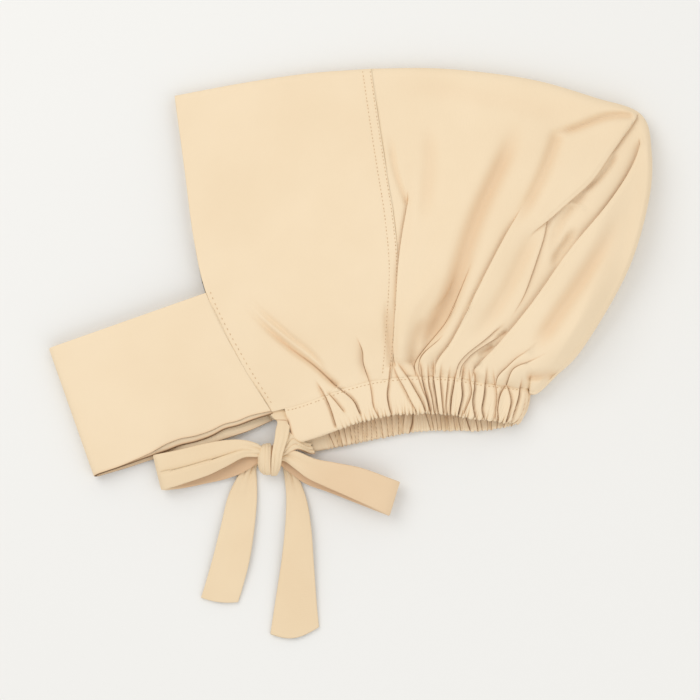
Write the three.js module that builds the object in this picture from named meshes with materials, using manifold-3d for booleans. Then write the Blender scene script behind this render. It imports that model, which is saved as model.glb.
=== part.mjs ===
// A hijab underscarf cap of plain jersey, lying on its side on a table as it does when it is
// laid out: a hood of two sewn pieces, a gathered neck casing, a looped chin band and a tied bow.
//
// Millimetres, +Z up. +X runs from the face edge to the back of the pouch and +Y from the neck
// hem to the top fold. The near half of the cap is the upper one and the far half lies on the
// table, and the two meet in a round fold along the top and the back. The origin is on the
// table, in the middle of the cap's box.
import * as THREE from "three";
import { mergeVertices } from "three/addons/utils/BufferGeometryUtils.js";
import Module from "manifold-3d";

const { clamp, lerp, smoothstep } = THREE.MathUtils;
const VERTICAL = new THREE.Vector3(0, 0, 1);

// Hood
const hoodDepth = 320; // face edge to the back of the pouch
const hoodHeight = 230; // front end of the neck hem to the top fold
const clothWall = 1.2; // a panel of doubled jersey
const seamGap = 0.3; // clearance between pieces that are sewn or knotted together
const foldThickness = 17; // near wall to far wall at the back of the pouch
const panelBulge = 3; // how far the near wall stands up in the middle of the front panel
const pouchBulge = 13; // the same in the middle of the pouch
const pleatRise = 5; // height of the deepest pleat
const creaseWidth = 5; // ground that the steep side of a pleat takes up
const hemLift = 15.5; // middle of the near hem's wall above the table, at its highest

// Neck casing
const casingHeight = 25;
const casingThickness = 3;
const gatherDepth = 0.9; // how far a gather stands out of the casing's middle
const gatherPitch = 6; // from one gather to the next
const casingPlain = 24; // stretch at each front end that has no gathers
const cornerGap = 0.9; // clearance to the pouch at its back end
const casingLean = THREE.MathUtils.degToRad(12); // how far its back end leans forward

// Chin band
const bandWidth = 90;
const bandReach = 111; // upper end of its seam to the loop's fold
const bandTilt = THREE.MathUtils.degToRad(19.4); // below the hood's own front to back line
const bandLeaf = 1; // one of the two leaves of the folded strip
const leafGap = 0.4; // air between the two leaves
const bandLoop = 7.2; // near half to far half, middle to middle
const bandSag = 3.5; // how far the far half's lower edge hangs below the near half's
const leafRise = [4.5, 2]; // how far the near half's leaves are drawn up in mid length

// Ties and bow
const tieWidth = 25;
const fannedWidth = 33; // end of the right tail, whose two layers lie fanned out
const tieThickness = 1.8;
const knotWidth = 16; // along the bow's loops
const knotLength = 22; // along the wrap
const knotHeight = 15;
const leftLoopLength = 74;
const rightLoopLength = 87;
const leftTailLength = 99;
const rightTailLength = 118;

// The hood's outline, seams and hems. x and y are shares of its depth and height, counted from
// the face edge's top corner and from the front end of the hem. fold is the near wall's height
// over the far one, as a share of foldThickness, and lift a share of hemLift.
const panelTop = [
  { x: 0, y: 0.92, fold: 0.44 },
  { x: 0.142, y: 0.957, fold: 0.46 },
  { x: 0.28, y: 0.985, fold: 0.52 },
  { x: 0.412, y: 0.9985, fold: 0.6 },
];
const pouchOutline = [
  { x: 0.412, y: 0.9985, fold: 0.6 },
  { x: 0.535, y: 1, fold: 0.66 },
  { x: 0.65, y: 0.987, fold: 0.72 },
  { x: 0.765, y: 0.961, fold: 0.78 },
  { x: 0.879, y: 0.914, fold: 0.82 },
  { x: 0.975, y: 0.866, fold: 0.86 },
  { x: 0.997, y: 0.76, fold: 0.94 },
  { x: 0.991, y: 0.615, fold: 1 },
  { x: 0.947, y: 0.411, fold: 1 },
  { x: 0.857, y: 0.193, fold: 0.8 },
  { x: 0.8, y: 0.111, fold: 0.62 },
];
const faceEdge = [
  { x: 0.204, y: 0 },
  { x: 0.137, y: 0.15 },
  { x: 0.07, y: 0.333 },
  { x: 0.041, y: 0.499 },
  { x: 0.02, y: 0.717 },
  { x: 0, y: 0.92 },
];
const crownSeam = [
  { x: 0.4534, y: 0.0974 },
  { x: 0.462, y: 0.25 },
  { x: 0.468, y: 0.42 },
  { x: 0.4585, y: 0.57 },
  { x: 0.445, y: 0.69 },
  { x: 0.43, y: 0.825 },
  { x: 0.412, y: 0.9985 },
];
const nearHem = [
  { x: 0.204, y: 0, lift: 0.6 },
  { x: 0.2685, y: 0.0233, lift: 0.68 },
  { x: 0.3759, y: 0.0762, lift: 0.86 },
  { x: 0.4534, y: 0.0974, lift: 0.96 },
  { x: 0.5246, y: 0.1023, lift: 1 },
  { x: 0.5895, y: 0.0974, lift: 1 },
  { x: 0.6461, y: 0.0837, lift: 0.92 },
  { x: 0.7257, y: 0.0698, lift: 0.76 },
];
const farHem = [
  { x: 0.204, y: -0.0247 },
  { x: 0.2685, y: -0.0145 },
  { x: 0.3759, y: 0.0145 },
  { x: 0.4723, y: 0.0422 },
  { x: 0.5333, y: 0.0505 },
  { x: 0.5895, y: 0.0509 },
  { x: 0.6461, y: 0.0509 },
  { x: 0.7257, y: 0.0698 },
];
const knotPlace = { x: 0.199, y: -0.138 };
const seamOnHem = 3 / 7; // where the crown seam meets either hem, along the hem's rows
const nearCasingStart = 0.065; // where the casing begins on each hem, past the chin band
const farCasingStart = 0.15;

// Pleats that stand out of the near wall. Each runs along a smooth line from one end of path to
// the other, in shares of the hood. The cloth is high on the right of the line and low on its
// left where rise is positive, and the other way round where it is negative. rise is a share of
// pleatRise, spread a share of the hood's depth, and dip a share of rise.
const pleats = [
  { path: [[0.472, 0.13], [0.466, 0.3], [0.474, 0.5], [0.51, 0.74]], rise: 0.5, spread: 0.05, dip: 0.3 },
  { path: [[0.52, 0.13], [0.56, 0.32], [0.62, 0.55], [0.69, 0.79]], rise: 0.55, spread: 0.05, dip: 0.9 },
  { path: [[0.55, 0.14], [0.625, 0.33], [0.7, 0.53], [0.765, 0.74]], rise: 0.9, spread: 0.055, dip: 0.7 },
  { path: [[0.62, 0.13], [0.7, 0.28], [0.775, 0.545], [0.93, 0.8]], rise: -0.95, spread: 0.06, dip: 0.75 },
  { path: [[0.635, 0.13], [0.72, 0.26], [0.85, 0.5], [0.975, 0.76]], rise: 1, spread: 0.07, dip: 0.5 },
  { path: [[0.69, 0.12], [0.74, 0.2], [0.84, 0.33], [0.93, 0.5]], rise: 0.5, spread: 0.05, dip: 0.7 },
  { path: [[0.34, 0.08], [0.29, 0.13], [0.21, 0.24], [0.15, 0.32]], rise: 0.3, spread: 0.04, dip: 1 },
  { path: [[0.408, 0.11], [0.395, 0.15], [0.39, 0.19], [0.388, 0.23]], rise: 0.4, spread: 0.03, dip: 1 },
];

const farLift = casingThickness / 2 + gatherDepth; // middle of the far hem's wall
const bandHalf = 2 * bandLeaf + leafGap; // one half of the chin band, both leaves

// A smooth line through the rows of a table, whose third column rides along as z.
function lineThrough(rows, column) {
  const points = rows.map(
    (row) => new THREE.Vector3(row.x * hoodDepth, row.y * hoodHeight, column ? row[column] : 0),
  );
  return new THREE.CatmullRomCurve3(points, false, "catmullrom", 0.5);
}

const nearHemLine = lineThrough(nearHem, "lift");
const farHemLine = lineThrough(farHem);
const panelTopLine = lineThrough(panelTop, "fold");
const faceEdgeLine = lineThrough(faceEdge);
const crownSeamLine = lineThrough(crownSeam);

const [nearEnd, farEnd] = [nearHem.at(-1), farHem.at(-1)];
const hemTurn = (nearEnd.lift * hemLift - farLift) / 2; // radius of the turn from near to far
// The pouch's outline ends on the hem's turn, whose thickness it takes over.
const pouchLine = lineThrough(
  [
    ...pouchOutline,
    {
      x: nearEnd.x + hemTurn / hoodDepth,
      y: (nearEnd.y + farEnd.y) / 2,
      fold: (2 * hemTurn) / foldThickness,
    },
  ],
  "fold",
);

// Pleats as short lines of points that distances are measured from.
const PLEAT_STEPS = 16;
const PLEAT_FADE = 0.2; // share of its length in which a pleat dies away at either end
const pleatLines = pleats.map((pleat) => ({
  ...pleat,
  points: lineThrough(pleat.path.map(([x, y]) => ({ x, y }))).getPoints(PLEAT_STEPS),
}));

// Height that one pleat adds at a place: a steep step across its line, dying away on both sides
// and at both ends.
function pleatHeight({ points, rise, spread, dip }, x, y) {
  let nearest = Infinity;
  let along = 0;
  let side = 0;
  for (let i = 0; i < PLEAT_STEPS; i++) {
    const a = points[i];
    const [dx, dy] = [points[i + 1].x - a.x, points[i + 1].y - a.y];
    const t = clamp(((x - a.x) * dx + (y - a.y) * dy) / (dx * dx + dy * dy), 0, 1);
    const [ex, ey] = [x - a.x - t * dx, y - a.y - t * dy];
    const distance = Math.hypot(ex, ey);
    if (distance < nearest) {
      nearest = distance;
      along = (i + t) / PLEAT_STEPS;
      side = Math.sign(ex * dy - ey * dx);
    }
  }
  const across = nearest * side * Math.sign(rise);
  const fading = Math.exp(-((nearest / (spread * hoodDepth)) ** 2));
  const step = smoothstep(across, -creaseWidth / 2, creaseWidth / 2);
  const ends = smoothstep(along, 0, PLEAT_FADE) * (1 - smoothstep(along, 1 - PLEAT_FADE, 1));
  return Math.abs(rise) * pleatRise * fading * ends * lerp(-dip, 1, step);
}

// A four-sided patch in plan: between hem (share 0) and outline (share 1), with curved sides.
function patch(hemAt, outlineAt, leftLine, rightLine, u, q) {
  const point = hemAt.clone().lerp(outlineAt, q);
  for (const [line, weight] of [[leftLine, 1 - u], [rightLine, u]]) {
    if (!line) continue;
    const straight = line.getPoint(0).lerp(line.getPoint(1), q);
    point.addScaledVector(line.getPoint(q).sub(straight), weight);
  }
  return point;
}

// One of the hood's two pieces as a surface in the middle of its wall. u runs from front to
// back, and w from 1 on the near hem over 0 on the fold to -1 on the far hem. The wall lies on
// the table, goes round the fold in half an ellipse, and comes back as the bulging near side.
const FOLD_SHARE = 0.25; // least part of w's run that goes round the fold
const FAR_RAMP = 25; // stretch in which the far wall rises to the far casing
const TURN_FROM = 0.8; // share of the pouch's outline past which its fold rises to the hem's turn
const FREE_FROM = 0.12; // share of the near wall beside the fold and the hem that pleats leave
const BULGE_TOP = 0.75; // below 1 the bulge is highest near the fold, above 1 near the hem
function hoodSurface({ hemFrom, hemTo, outline, leftLine, rightLine, shift, bulgeAt }) {
  return (u, w) => {
    const near = w >= 0;
    const hemLine = near ? nearHemLine : farHemLine;
    const hemAt = hemLine.getPoint(lerp(hemFrom, hemTo, u));
    const top = outline.getPoint(u);
    const fold = top.z * foldThickness;
    const hemHeight = near ? hemAt.z * hemLift : farLift;
    hemAt.z = top.z = 0;
    const length = hemAt.distanceTo(top);
    const edge = Math.min(fold / 2, length);
    const arc = (edge * Math.PI) / 2;
    const share = Math.max(FOLD_SHARE, arc / (arc + length - edge));
    const turned = (Math.min(Math.abs(w) / share, 1) * Math.PI) / 2;
    const run = share < 1 ? clamp((Math.abs(w) - share) / (1 - share), 0, 1) : 0;
    const fromTop = edge * (1 - Math.cos(turned)) + (length - edge) * run;
    const fromHem = clamp(1 - fromTop / length, 0, 1);
    const place = patch(hemAt, top, leftLine, rightLine, u, fromHem);
    place.x += shift * (rightLine ? u : 1 - u);
    const floor = lerp(clothWall / 2, farLift, rightLine ? 0 : smoothstep(u, TURN_FROM, 1));
    if (near) {
      let folds = 0;
      for (const pleat of pleatLines) folds += pleatHeight(pleat, place.x, place.y);
      const free = smoothstep(run, 0, FREE_FROM) * (1 - smoothstep(run, 1 - FREE_FROM, 1));
      place.z = lerp(floor + (fold / 2) * (1 + Math.sin(turned)), hemHeight, smoothstep(run, 0, 1));
      place.z += bulgeAt(u) * Math.sin(Math.PI * run ** BULGE_TOP) + folds * free;
    } else {
      const ramp = 1 - smoothstep(length - fromTop, 0, FAR_RAMP);
      const pastFold = turned / (Math.PI / 2);
      place.z = floor + (fold / 2) * (1 - Math.sin(turned));
      place.z += (hemHeight - floor) * ramp * pastFold;
    }
    return place;
  };
}

// How far the near wall bulges, as shares of the two sizes above. The front panel is flat at the
// face edge, and the pouch is fullest between the two runs from the crown seam to its back.
const EDGE_BULGE = 0.4;
const SEAM_BULGE = 2;
const FULL_FROM = 0.3;
const FULL_TO = 0.75;
const panelBulgeAt = (u) => panelBulge * lerp(EDGE_BULGE, SEAM_BULGE, u);
function pouchBulgeAt(u) {
  const rising = lerp(panelBulgeAt(1), pouchBulge, smoothstep(u, 0, FULL_FROM));
  return rising * (1 - smoothstep(u, FULL_TO, 1));
}

const frontSurface = hoodSurface({
  hemFrom: 0,
  hemTo: seamOnHem,
  outline: panelTopLine,
  leftLine: faceEdgeLine,
  rightLine: crownSeamLine,
  shift: -seamGap / 2,
  bulgeAt: panelBulgeAt,
});
const pouchSurface = hoodSurface({
  hemFrom: seamOnHem,
  hemTo: 1,
  outline: pouchLine,
  leftLine: crownSeamLine,
  rightLine: null,
  shift: seamGap / 2,
  bulgeAt: pouchBulgeAt,
});

// A closed wall round a surface: its points moved out and in by half the thickness, and rimmed.
// The wall doesn't lean over its own edges, so that neighbours meet face to face. first and last
// are the ways in which the surface runs off its first and last columns.
const STEP = 1e-3;
function shell(surface, us, ws, thickness, first, last) {
  const sides = [[], []];
  us.forEach((u, i) =>
    ws.forEach((w, j) => {
      const [u0, u1] = [Math.max(u - STEP, us[0]), Math.min(u + STEP, us.at(-1))];
      const [w0, w1] = [Math.max(w - STEP, ws[0]), Math.min(w + STEP, ws.at(-1))];
      let along = surface(u1, w).sub(surface(u0, w));
      let across = surface(u, w1).sub(surface(u, w0));
      if (i === 0) along = first.clone();
      if (i === us.length - 1) along = last.clone();
      const onHem = j === 0 || j === ws.length - 1;
      if (onHem) across = new THREE.Vector3(along.y, -along.x, 0).multiplyScalar(j === 0 ? -1 : 1);
      const out = across.cross(along).setLength(thickness / 2);
      const middle = surface(u, w);
      sides[0].push(middle.clone().add(out));
      sides[1].push(middle.sub(out));
    }),
  );
  const [rows, columns] = [us.length, ws.length];
  const id = (i, j) => i * columns + j;
  const inner = rows * columns;
  const faces = [];
  for (let i = 0; i + 1 < rows; i++)
    for (let j = 0; j + 1 < columns; j++) {
      const [a, b, c, d] = [id(i, j), id(i, j + 1), id(i + 1, j), id(i + 1, j + 1)];
      faces.push(a, b, c, b, d, c);
      faces.push(inner + a, inner + c, inner + b, inner + b, inner + c, inner + d);
    }
  const rim = [];
  for (let j = 0; j < columns - 1; j++) rim.push(id(0, j));
  for (let i = 0; i < rows - 1; i++) rim.push(id(i, columns - 1));
  for (let j = columns - 1; j > 0; j--) rim.push(id(rows - 1, j));
  for (let i = rows - 1; i > 0; i--) rim.push(id(i, 0));
  rim.forEach((p, k) => {
    const q = rim[(k + 1) % rim.length];
    faces.push(q, p, inner + p, q, inner + p, inner + q);
  });
  return geometryOf([...sides[0], ...sides[1]], faces);
}

function geometryOf(points, faces) {
  const geometry = new THREE.BufferGeometry();
  geometry.setFromPoints(points);
  geometry.setIndex(faces);
  return geometry;
}

// A closed solid from rings of points along a run. A ring is an outline whose points lie in
// pairs across it, the first with the last, the second with the last but one, and so on.
function loft(rings) {
  const count = rings[0].length;
  const id = (ring, k) => ring * count + (k % count);
  const faces = [];
  const quad = (a, b, c, d) => faces.push(a, b, c, a, c, d);
  for (let i = 0; i + 1 < rings.length; i++)
    for (let k = 0; k < count; k++) quad(id(i, k), id(i + 1, k), id(i + 1, k + 1), id(i, k + 1));
  const last = rings.length - 1;
  for (let k = 0; 2 * k + 2 < count; k++) {
    const ends = [k, k + 1, count - 2 - k, count - 1 - k];
    quad(...ends);
    quad(...ends.toReversed().map((end) => id(last, end)));
  }
  const points = rings.flat();
  return geometryOf(points, volumeOf(points, faces) < 0 ? faces.toReversed() : faces);
}

// Six times the signed volume inside a closed mesh, negative where its faces look inwards.
function volumeOf(points, faces) {
  let volume = 0;
  for (let i = 0; i < faces.length; i += 3) {
    const [a, b, c] = [points[faces[i]], points[faces[i + 1]], points[faces[i + 2]]];
    volume += a.dot(b.clone().cross(c));
  }
  return volume;
}

const evenly = (from, to, count) =>
  Array.from({ length: count + 1 }, (_, i) => lerp(from, to, i / count));

// The hood's walls are meshed finely on the near side and round the fold, coarsely on the table.
const acrossRuns = [
  ...evenly(-1, -FOLD_SHARE, 6),
  ...evenly(-FOLD_SHARE, FOLD_SHARE, 8).slice(1, -1),
  ...evenly(FOLD_SHARE, 1, 20),
];
const FRONT_COLUMNS = 13;
const POUCH_COLUMNS = 28;

// One place on the neck casing's middle: the hem's own line, moved down square to it.
const LEAN_FROM = 0.7; // share of the hem past which the casing leans forward
function casingPlace(line, t, down, height) {
  const top = line.getPoint(t);
  const way = line.getTangent(t);
  way.z = 0;
  way.normalize().applyAxisAngle(VERTICAL, -casingLean * smoothstep(t, LEAN_FROM, 1));
  return new THREE.Vector3(top.x + way.y * down, top.y - way.x * down, height(top));
}
const nearCasing = (t, down) => casingPlace(nearHemLine, t, down, (top) => top.z * hemLift);
const farCasing = (t, down) => casingPlace(farHemLine, t, down, () => farLift);

// The casing is a flat tube gathered on its elastic, from the near front end round the turn at
// the back of the neck to the far front end. Its gathers stand out along the wall's own normal.
const FIRST_GATHER = 0.3; // share of casingPlain that is quite flat
const STITCHED_GATHER = 0.3; // share of a gather that is left at the stitched top edge
const SCALLOP = 0.4; // how far a gather draws the lower edge down, as a share of its depth
const CORNER_FROM = 0.85; // share of the hem past which the clearance grows to cornerGap
function neckCasing() {
  const profile = [[0, 0.55], [0.5, 1], [1, 0.6], [1, -0.6], [0.5, -1], [0, -0.55]];
  const STEPS_PER_GATHER = 4;
  const nearLength = nearHemLine.getLength() * (1 - nearCasingStart);
  const farLength = farHemLine.getLength() * (1 - farCasingStart);
  const nearSteps = Math.round((nearLength / gatherPitch) * STEPS_PER_GATHER);
  const farSteps = Math.round((farLength / gatherPitch) * STEPS_PER_GATHER);
  const TURN_STEPS = 8;
  const stations = [];
  for (const t of evenly(nearCasingStart, 1, nearSteps))
    stations.push({ t, turn: 0, at: nearCasing, plain: (t - nearCasingStart) * nearLength });
  const turned = (turn) => (t, down) => {
    const place = nearCasing(t, down).lerp(farCasing(t, down), (1 - Math.cos(turn)) / 2);
    place.x += hemTurn * Math.sin(turn);
    return place;
  };
  for (const turn of evenly(0, Math.PI, TURN_STEPS).slice(1, -1))
    stations.push({ t: 1, turn, at: turned(turn), plain: nearLength });
  for (const t of evenly(1, farCasingStart, farSteps))
    stations.push({ t, turn: Math.PI, at: farCasing, plain: (t - farCasingStart) * farLength });
  const rings = stations.map(({ t, turn, at, plain }, i) => {
    // The puffed lower corner of the pouch hangs over the casing's back end a little.
    const gap = lerp(seamGap, cornerGap, smoothstep(t, CORNER_FROM, 1));
    const out = new THREE.Vector3(Math.sin(turn), 0, Math.cos(turn));
    const wave = gatherDepth * Math.cos((2 * Math.PI * i) / STEPS_PER_GATHER);
    const gathered = wave * smoothstep(plain, FIRST_GATHER * casingPlain, casingPlain);
    return profile.map(([down, side]) => {
      const pinch = down === 0 ? STITCHED_GATHER : 1;
      const scallop = down === 1 ? SCALLOP * gathered : 0;
      const place = at(t, gap + down * casingHeight + scallop);
      return place.addScaledVector(out, (side * casingThickness) / 2 + gathered * pinch);
    });
  });
  return loft(rings);
}

// The chin band is a strip folded lengthwise into two leaves, open along its lower edge, and
// looped from the near face edge round to the far one. along runs from its loop to its seam,
// and down from its upper edge to its lower one.
const bandAlong = new THREE.Vector3(Math.cos(bandTilt), Math.sin(bandTilt), 0);
const bandDown = new THREE.Vector3(Math.sin(bandTilt), -Math.cos(bandTilt), 0);
const bandLowerEnd = frontSurface(0, 1).setZ(0);

// The hood's face edge on one side, seen in the band's own directions from its lower end.
const SEAM_ROWS = 60;
function seamRows(side) {
  return evenly(1, 0, SEAM_ROWS).map((w) => {
    const place = frontSurface(0, side * w);
    const height = place.z;
    place.setZ(0).sub(bandLowerEnd);
    return { up: -place.dot(bandDown), along: place.dot(bandAlong), height };
  });
}

// The seam at a given height over the band's lower edge, by straight lines between the rows.
function seamAt(rows, up) {
  const i = clamp(rows.findIndex((row) => row.up > up), 1, rows.length - 1);
  const [a, b] = [rows[i - 1], rows[i]];
  const share = (up - a.up) / (b.up - a.up);
  return { along: lerp(a.along, b.along, share), height: lerp(a.height, b.height, share) };
}

const DRAWN_ROUND = 0.8; // below 1 the drawn-up edge runs level for longer in mid length
const EDGE_ONLY = 4; // the higher, the closer to the lower edge its sag and its drawn part stay
function chinBand() {
  const half = bandHalf / 2;
  const slit = leafGap / 2;
  // down is a share of the width, side the height over the half's own middle, and rise how far
  // the leaf's lower edge is drawn up.
  const foldEnd = half / bandWidth;
  const downs = [...evenly(1, 3 * foldEnd, 6), foldEnd];
  const drawn = (down, side) => ({ down, side, rise: side > 0 ? leafRise[0] : leafRise[1] });
  const profile = [
    ...downs.map((down) => drawn(down, half)),
    drawn(0, 0),
    ...downs.toReversed().map((down) => drawn(down, -half)),
    ...downs.map((down) => drawn(down, -slit)),
    drawn(2 * foldEnd, 0),
    ...downs.toReversed().map((down) => drawn(down, slit)),
  ];
  const [near, far] = [seamRows(1), seamRows(-1)];
  const loopAlong = seamAt(near, bandWidth).along - bandReach + bandLoop / 2;
  const LENGTH_STEPS = 6;
  const LOOP_STEPS = 6;
  const stations = [
    ...evenly(0, 1, LENGTH_STEPS).map((run) => ({ rows: near, run, turn: 0 })),
    ...evenly(0, Math.PI, LOOP_STEPS).slice(1, -1).map((turn) => ({ rows: near, run: 1, turn })),
    ...evenly(1, 0, LENGTH_STEPS).map((run) => ({ rows: far, run, turn: Math.PI })),
  ];
  const rings = stations.map(({ rows, run, turn }) =>
    profile.map(({ down, side, rise }) => {
      const isNear = turn < Math.PI;
      const drawnUp = isNear ? rise * Math.sin(Math.PI * run) ** DRAWN_ROUND : 0;
      const sag = (bandSag * (1 - Math.cos(turn))) / 2;
      const up = bandWidth * (1 - down) + (drawnUp - sag) * down ** EDGE_ONLY;
      const seam = seamAt(rows, up);
      const rest = isNear ? half + bandLoop : half;
      const middle = lerp(isNear ? seam.height : half, rest, smoothstep(run, 0, 1));
      const reach = side + bandLoop / 2;
      const along = lerp(seam.along - seamGap, loopAlong, run) - reach * Math.sin(turn);
      const place = bandLowerEnd.clone().addScaledVector(bandDown, -up);
      place.addScaledVector(bandAlong, along);
      const turning = turn > 0 && isNear;
      const onLoop = half + bandLoop / 2 + reach * Math.cos(turn);
      place.z = turning ? onLoop : middle + side * (isNear ? 1 : -1);
      return place;
    }),
  );
  return loft(rings);
}

// A flat strip of doubled cloth along a line. Each row gives the strip's middle, its width, and
// the level direction that its width lies in.
const STRIP_EDGE = 0.5; // share of the thickness that is rounded off at each edge
function strip(rows, steps) {
  const line = new THREE.CatmullRomCurve3(rows.map((row) => row.at), false, "centripetal");
  const profile = [[-1, 0], [-1, 1], [1, 1], [1, 0], [1, -1], [-1, -1]];
  const rings = evenly(0, 1, steps).map((t) => {
    const place = line.getPoint(t);
    const i = Math.min(Math.floor(t * (rows.length - 1)), rows.length - 2);
    const share = t * (rows.length - 1) - i;
    const width = lerp(rows[i].width, rows[i + 1].width, share);
    const across = rows[i].across.clone().lerp(rows[i + 1].across, share).normalize();
    const out = line.getTangent(t).cross(across).normalize();
    return profile.map(([side, up]) =>
      place
        .clone()
        .addScaledVector(across, side * (width / 2 - Math.abs(up) * STRIP_EDGE * tieThickness))
        .addScaledVector(out, (up * tieThickness) / 2),
    );
  });
  return loft(rings);
}

const knotMiddle = new THREE.Vector3(
  knotPlace.x * hoodDepth,
  knotPlace.y * hoodHeight,
  knotHeight / 2,
);

// The knot is a lump of wrapped tie: rings round the loops' own direction, grown by a clearance
// where its neighbours are cut back from it. Two grooves part the wrap's turns; at is counted
// from the middle (0) to the right end (1), and depth is a share of the knot's own radius.
const wrapGrooves = [
  { at: -0.1, depth: 0.14 },
  { at: 0.42, depth: 0.1 },
];
const GROOVE_HALF = 0.16; // half of a groove's width, counted as at is
const END_TAPER = 0.85; // how far the knot draws in towards its two ends
function knotBody(clearance = 0) {
  const RING_STEPS = 12;
  const ROUND_STEPS = 16;
  const profile = evenly(0, 2 * Math.PI, ROUND_STEPS)
    .slice(0, -1)
    .map((angle) => [Math.cos(angle), Math.sin(angle)]);
  const rings = evenly(-1, 1, RING_STEPS).map((s) => {
    let full = Math.sqrt(1 - END_TAPER * s ** 4);
    const ungrooved = full;
    for (const { at, depth } of wrapGrooves)
      full -= ungrooved * depth * Math.exp(-(((s - at) / GROOVE_HALF) ** 2));
    return profile.map(
      ([along, up]) =>
        new THREE.Vector3(
          knotMiddle.x + s * (knotWidth / 2 + clearance),
          knotMiddle.y + along * ((knotLength / 2) * full + clearance),
          knotMiddle.z + up * ((knotHeight / 2) * full + clearance),
        ),
    );
  });
  return loft(rings);
}

// Strips of the bow. way is the direction that a strip takes from the knot, in degrees from the
// hood's own front to back line. out runs along it from the knot's middle as a share of length,
// side square to it as a share of the tie's width, up is a share of the knot's height above the
// table, and width a share of widest. A loop goes out, turns over and comes back below.
const bowStrips = {
  left_loop: {
    length: leftLoopLength,
    widest: tieWidth,
    way: 187,
    isLoop: true,
    rows: [
      { out: 0.06, side: -0.28, up: 0.64, width: 0.34 },
      { out: 0.39, side: -0.34, up: 0.72, width: 0.66 },
      { out: 0.68, side: -0.15, up: 0.7, width: 0.84 },
      { out: 0.92, side: -0.02, up: 0.66, width: 0.96 },
      { out: 1, side: 0, up: 0.46, width: 0.98 },
      { out: 0.93, side: 0.02, up: 0.26, width: 0.92 },
      { out: 0.69, side: 0.15, up: 0.16, width: 0.72 },
      { out: 0.4, side: 0.1, up: 0.2, width: 0.62 },
      { out: 0.06, side: -0.04, up: 0.4, width: 0.34 },
    ],
  },
  right_loop: {
    length: rightLoopLength,
    widest: tieWidth,
    way: -18,
    isLoop: true,
    rows: [
      { out: 0.04, side: 0.16, up: 0.62, width: 0.34 },
      { out: 0.24, side: 0.16, up: 0.72, width: 0.5 },
      { out: 0.54, side: 0.13, up: 0.84, width: 0.84 },
      { out: 0.93, side: 0.03, up: 0.9, width: 0.98 },
      { out: 1, side: 0, up: 0.66, width: 0.98 },
      { out: 0.93, side: 0.02, up: 0.42, width: 0.96 },
      { out: 0.54, side: 0.06, up: 0.24, width: 0.8 },
      { out: 0.26, side: -0.04, up: 0.28, width: 0.5 },
      { out: 0.04, side: 0, up: 0.38, width: 0.34 },
    ],
  },
  left_tail: {
    length: leftTailLength,
    widest: tieWidth,
    way: 255,
    rows: [
      { out: 0.04, side: -0.28, up: 0.14, width: 0.3 },
      { out: 0.17, side: -0.47, up: 0.08, width: 0.62 },
      { out: 0.32, side: -0.45, up: 0.12, width: 0.88 },
      { out: 0.57, side: -0.35, up: 0.24, width: 0.97 },
      { out: 0.79, side: -0.29, up: 0.16, width: 0.99 },
      { out: 1, side: -0.32, up: 0.07, width: 1 },
    ],
  },
  right_tail: {
    length: rightTailLength,
    widest: fannedWidth,
    way: 273,
    rows: [
      { out: 0.03, side: 0.28, up: 0.14, width: 0.23 },
      { out: 0.12, side: 0.48, up: 0.08, width: 0.33 },
      { out: 0.27, side: 0.66, up: 0.1, width: 0.48 },
      { out: 0.46, side: 0.63, up: 0.28, width: 0.58 },
      { out: 0.75, side: 0.55, up: 0.22, width: 0.79 },
      { out: 1, side: 0.43, up: 0.07, width: 1 },
    ],
  },
};

const LOOP_STRIP_STEPS = 24;
const TAIL_STEPS = 14;
function bowStrip({ length, widest, way, isLoop, rows }) {
  const angle = THREE.MathUtils.degToRad(way);
  const out = new THREE.Vector3(Math.cos(angle), Math.sin(angle), 0);
  const side = new THREE.Vector3(-out.y, out.x, 0);
  const places = rows.map((row) =>
    knotMiddle
      .clone()
      .setZ(row.up * knotHeight)
      .addScaledVector(out, row.out * length)
      .addScaledVector(side, row.side * tieWidth),
  );
  return strip(
    rows.map((row, i) => {
      const run = places[Math.min(i + 1, rows.length - 1)].clone().sub(places[Math.max(i - 1, 0)]);
      const across = isLoop ? side : new THREE.Vector3(-run.y, run.x, 0).normalize();
      return { at: places[i], width: row.width * widest, across };
    }),
    isLoop ? LOOP_STRIP_STEPS : TAIL_STEPS,
  );
}

// The tie's two short leads, from the front ends of the casing into the knot. Each leaves square
// to its end of the casing, and turns to the side of the knot that it goes in at. exit is its
// place down the casing's height, entry its place off the knot's middle in shares of the knot's
// three sizes, into the way it takes there, and width a share of the tie's width.
const leads = {
  near_lead: {
    at: nearCasing,
    start: nearCasingStart,
    exit: 0.34,
    entry: [0.1, 0.3, 0.3],
    into: [0, -1],
    width: 0.5,
  },
  far_lead: {
    at: farCasing,
    start: farCasingStart,
    exit: 0.72,
    entry: [0.25, 0.2, -0.26],
    into: [-1, -0.2],
    width: 0.34,
  },
};
const LEAD_STEPS = 8;
const LEAD_STRAIGHT = 4; // stretch in which a lead runs straight out of the casing
function lead({ at, start, exit, entry, into, width }) {
  const casingDown = at(start, 1).sub(at(start, 0));
  const leave = new THREE.Vector3(casingDown.y, -casingDown.x, 0);
  const from = at(start, exit * casingHeight).addScaledVector(leave, seamGap);
  const knotSize = new THREE.Vector3(knotWidth, knotLength, knotHeight);
  const to = new THREE.Vector3(...entry).multiply(knotSize).add(knotMiddle);
  const enter = new THREE.Vector3(...into, 0).normalize();
  const sideways = new THREE.Vector3(-enter.y, enter.x, 0);
  const places = [
    from,
    from.clone().addScaledVector(leave, LEAD_STRAIGHT),
    to.clone().addScaledVector(enter, -knotLength / 3),
    to,
  ];
  return strip(
    places.map((place, i) => ({
      at: place,
      width: width * tieWidth,
      across: i < 2 ? casingDown : sideways,
    })),
    LEAD_STEPS,
  );
}

const wasm = await Module();
wasm.setup();

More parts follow.
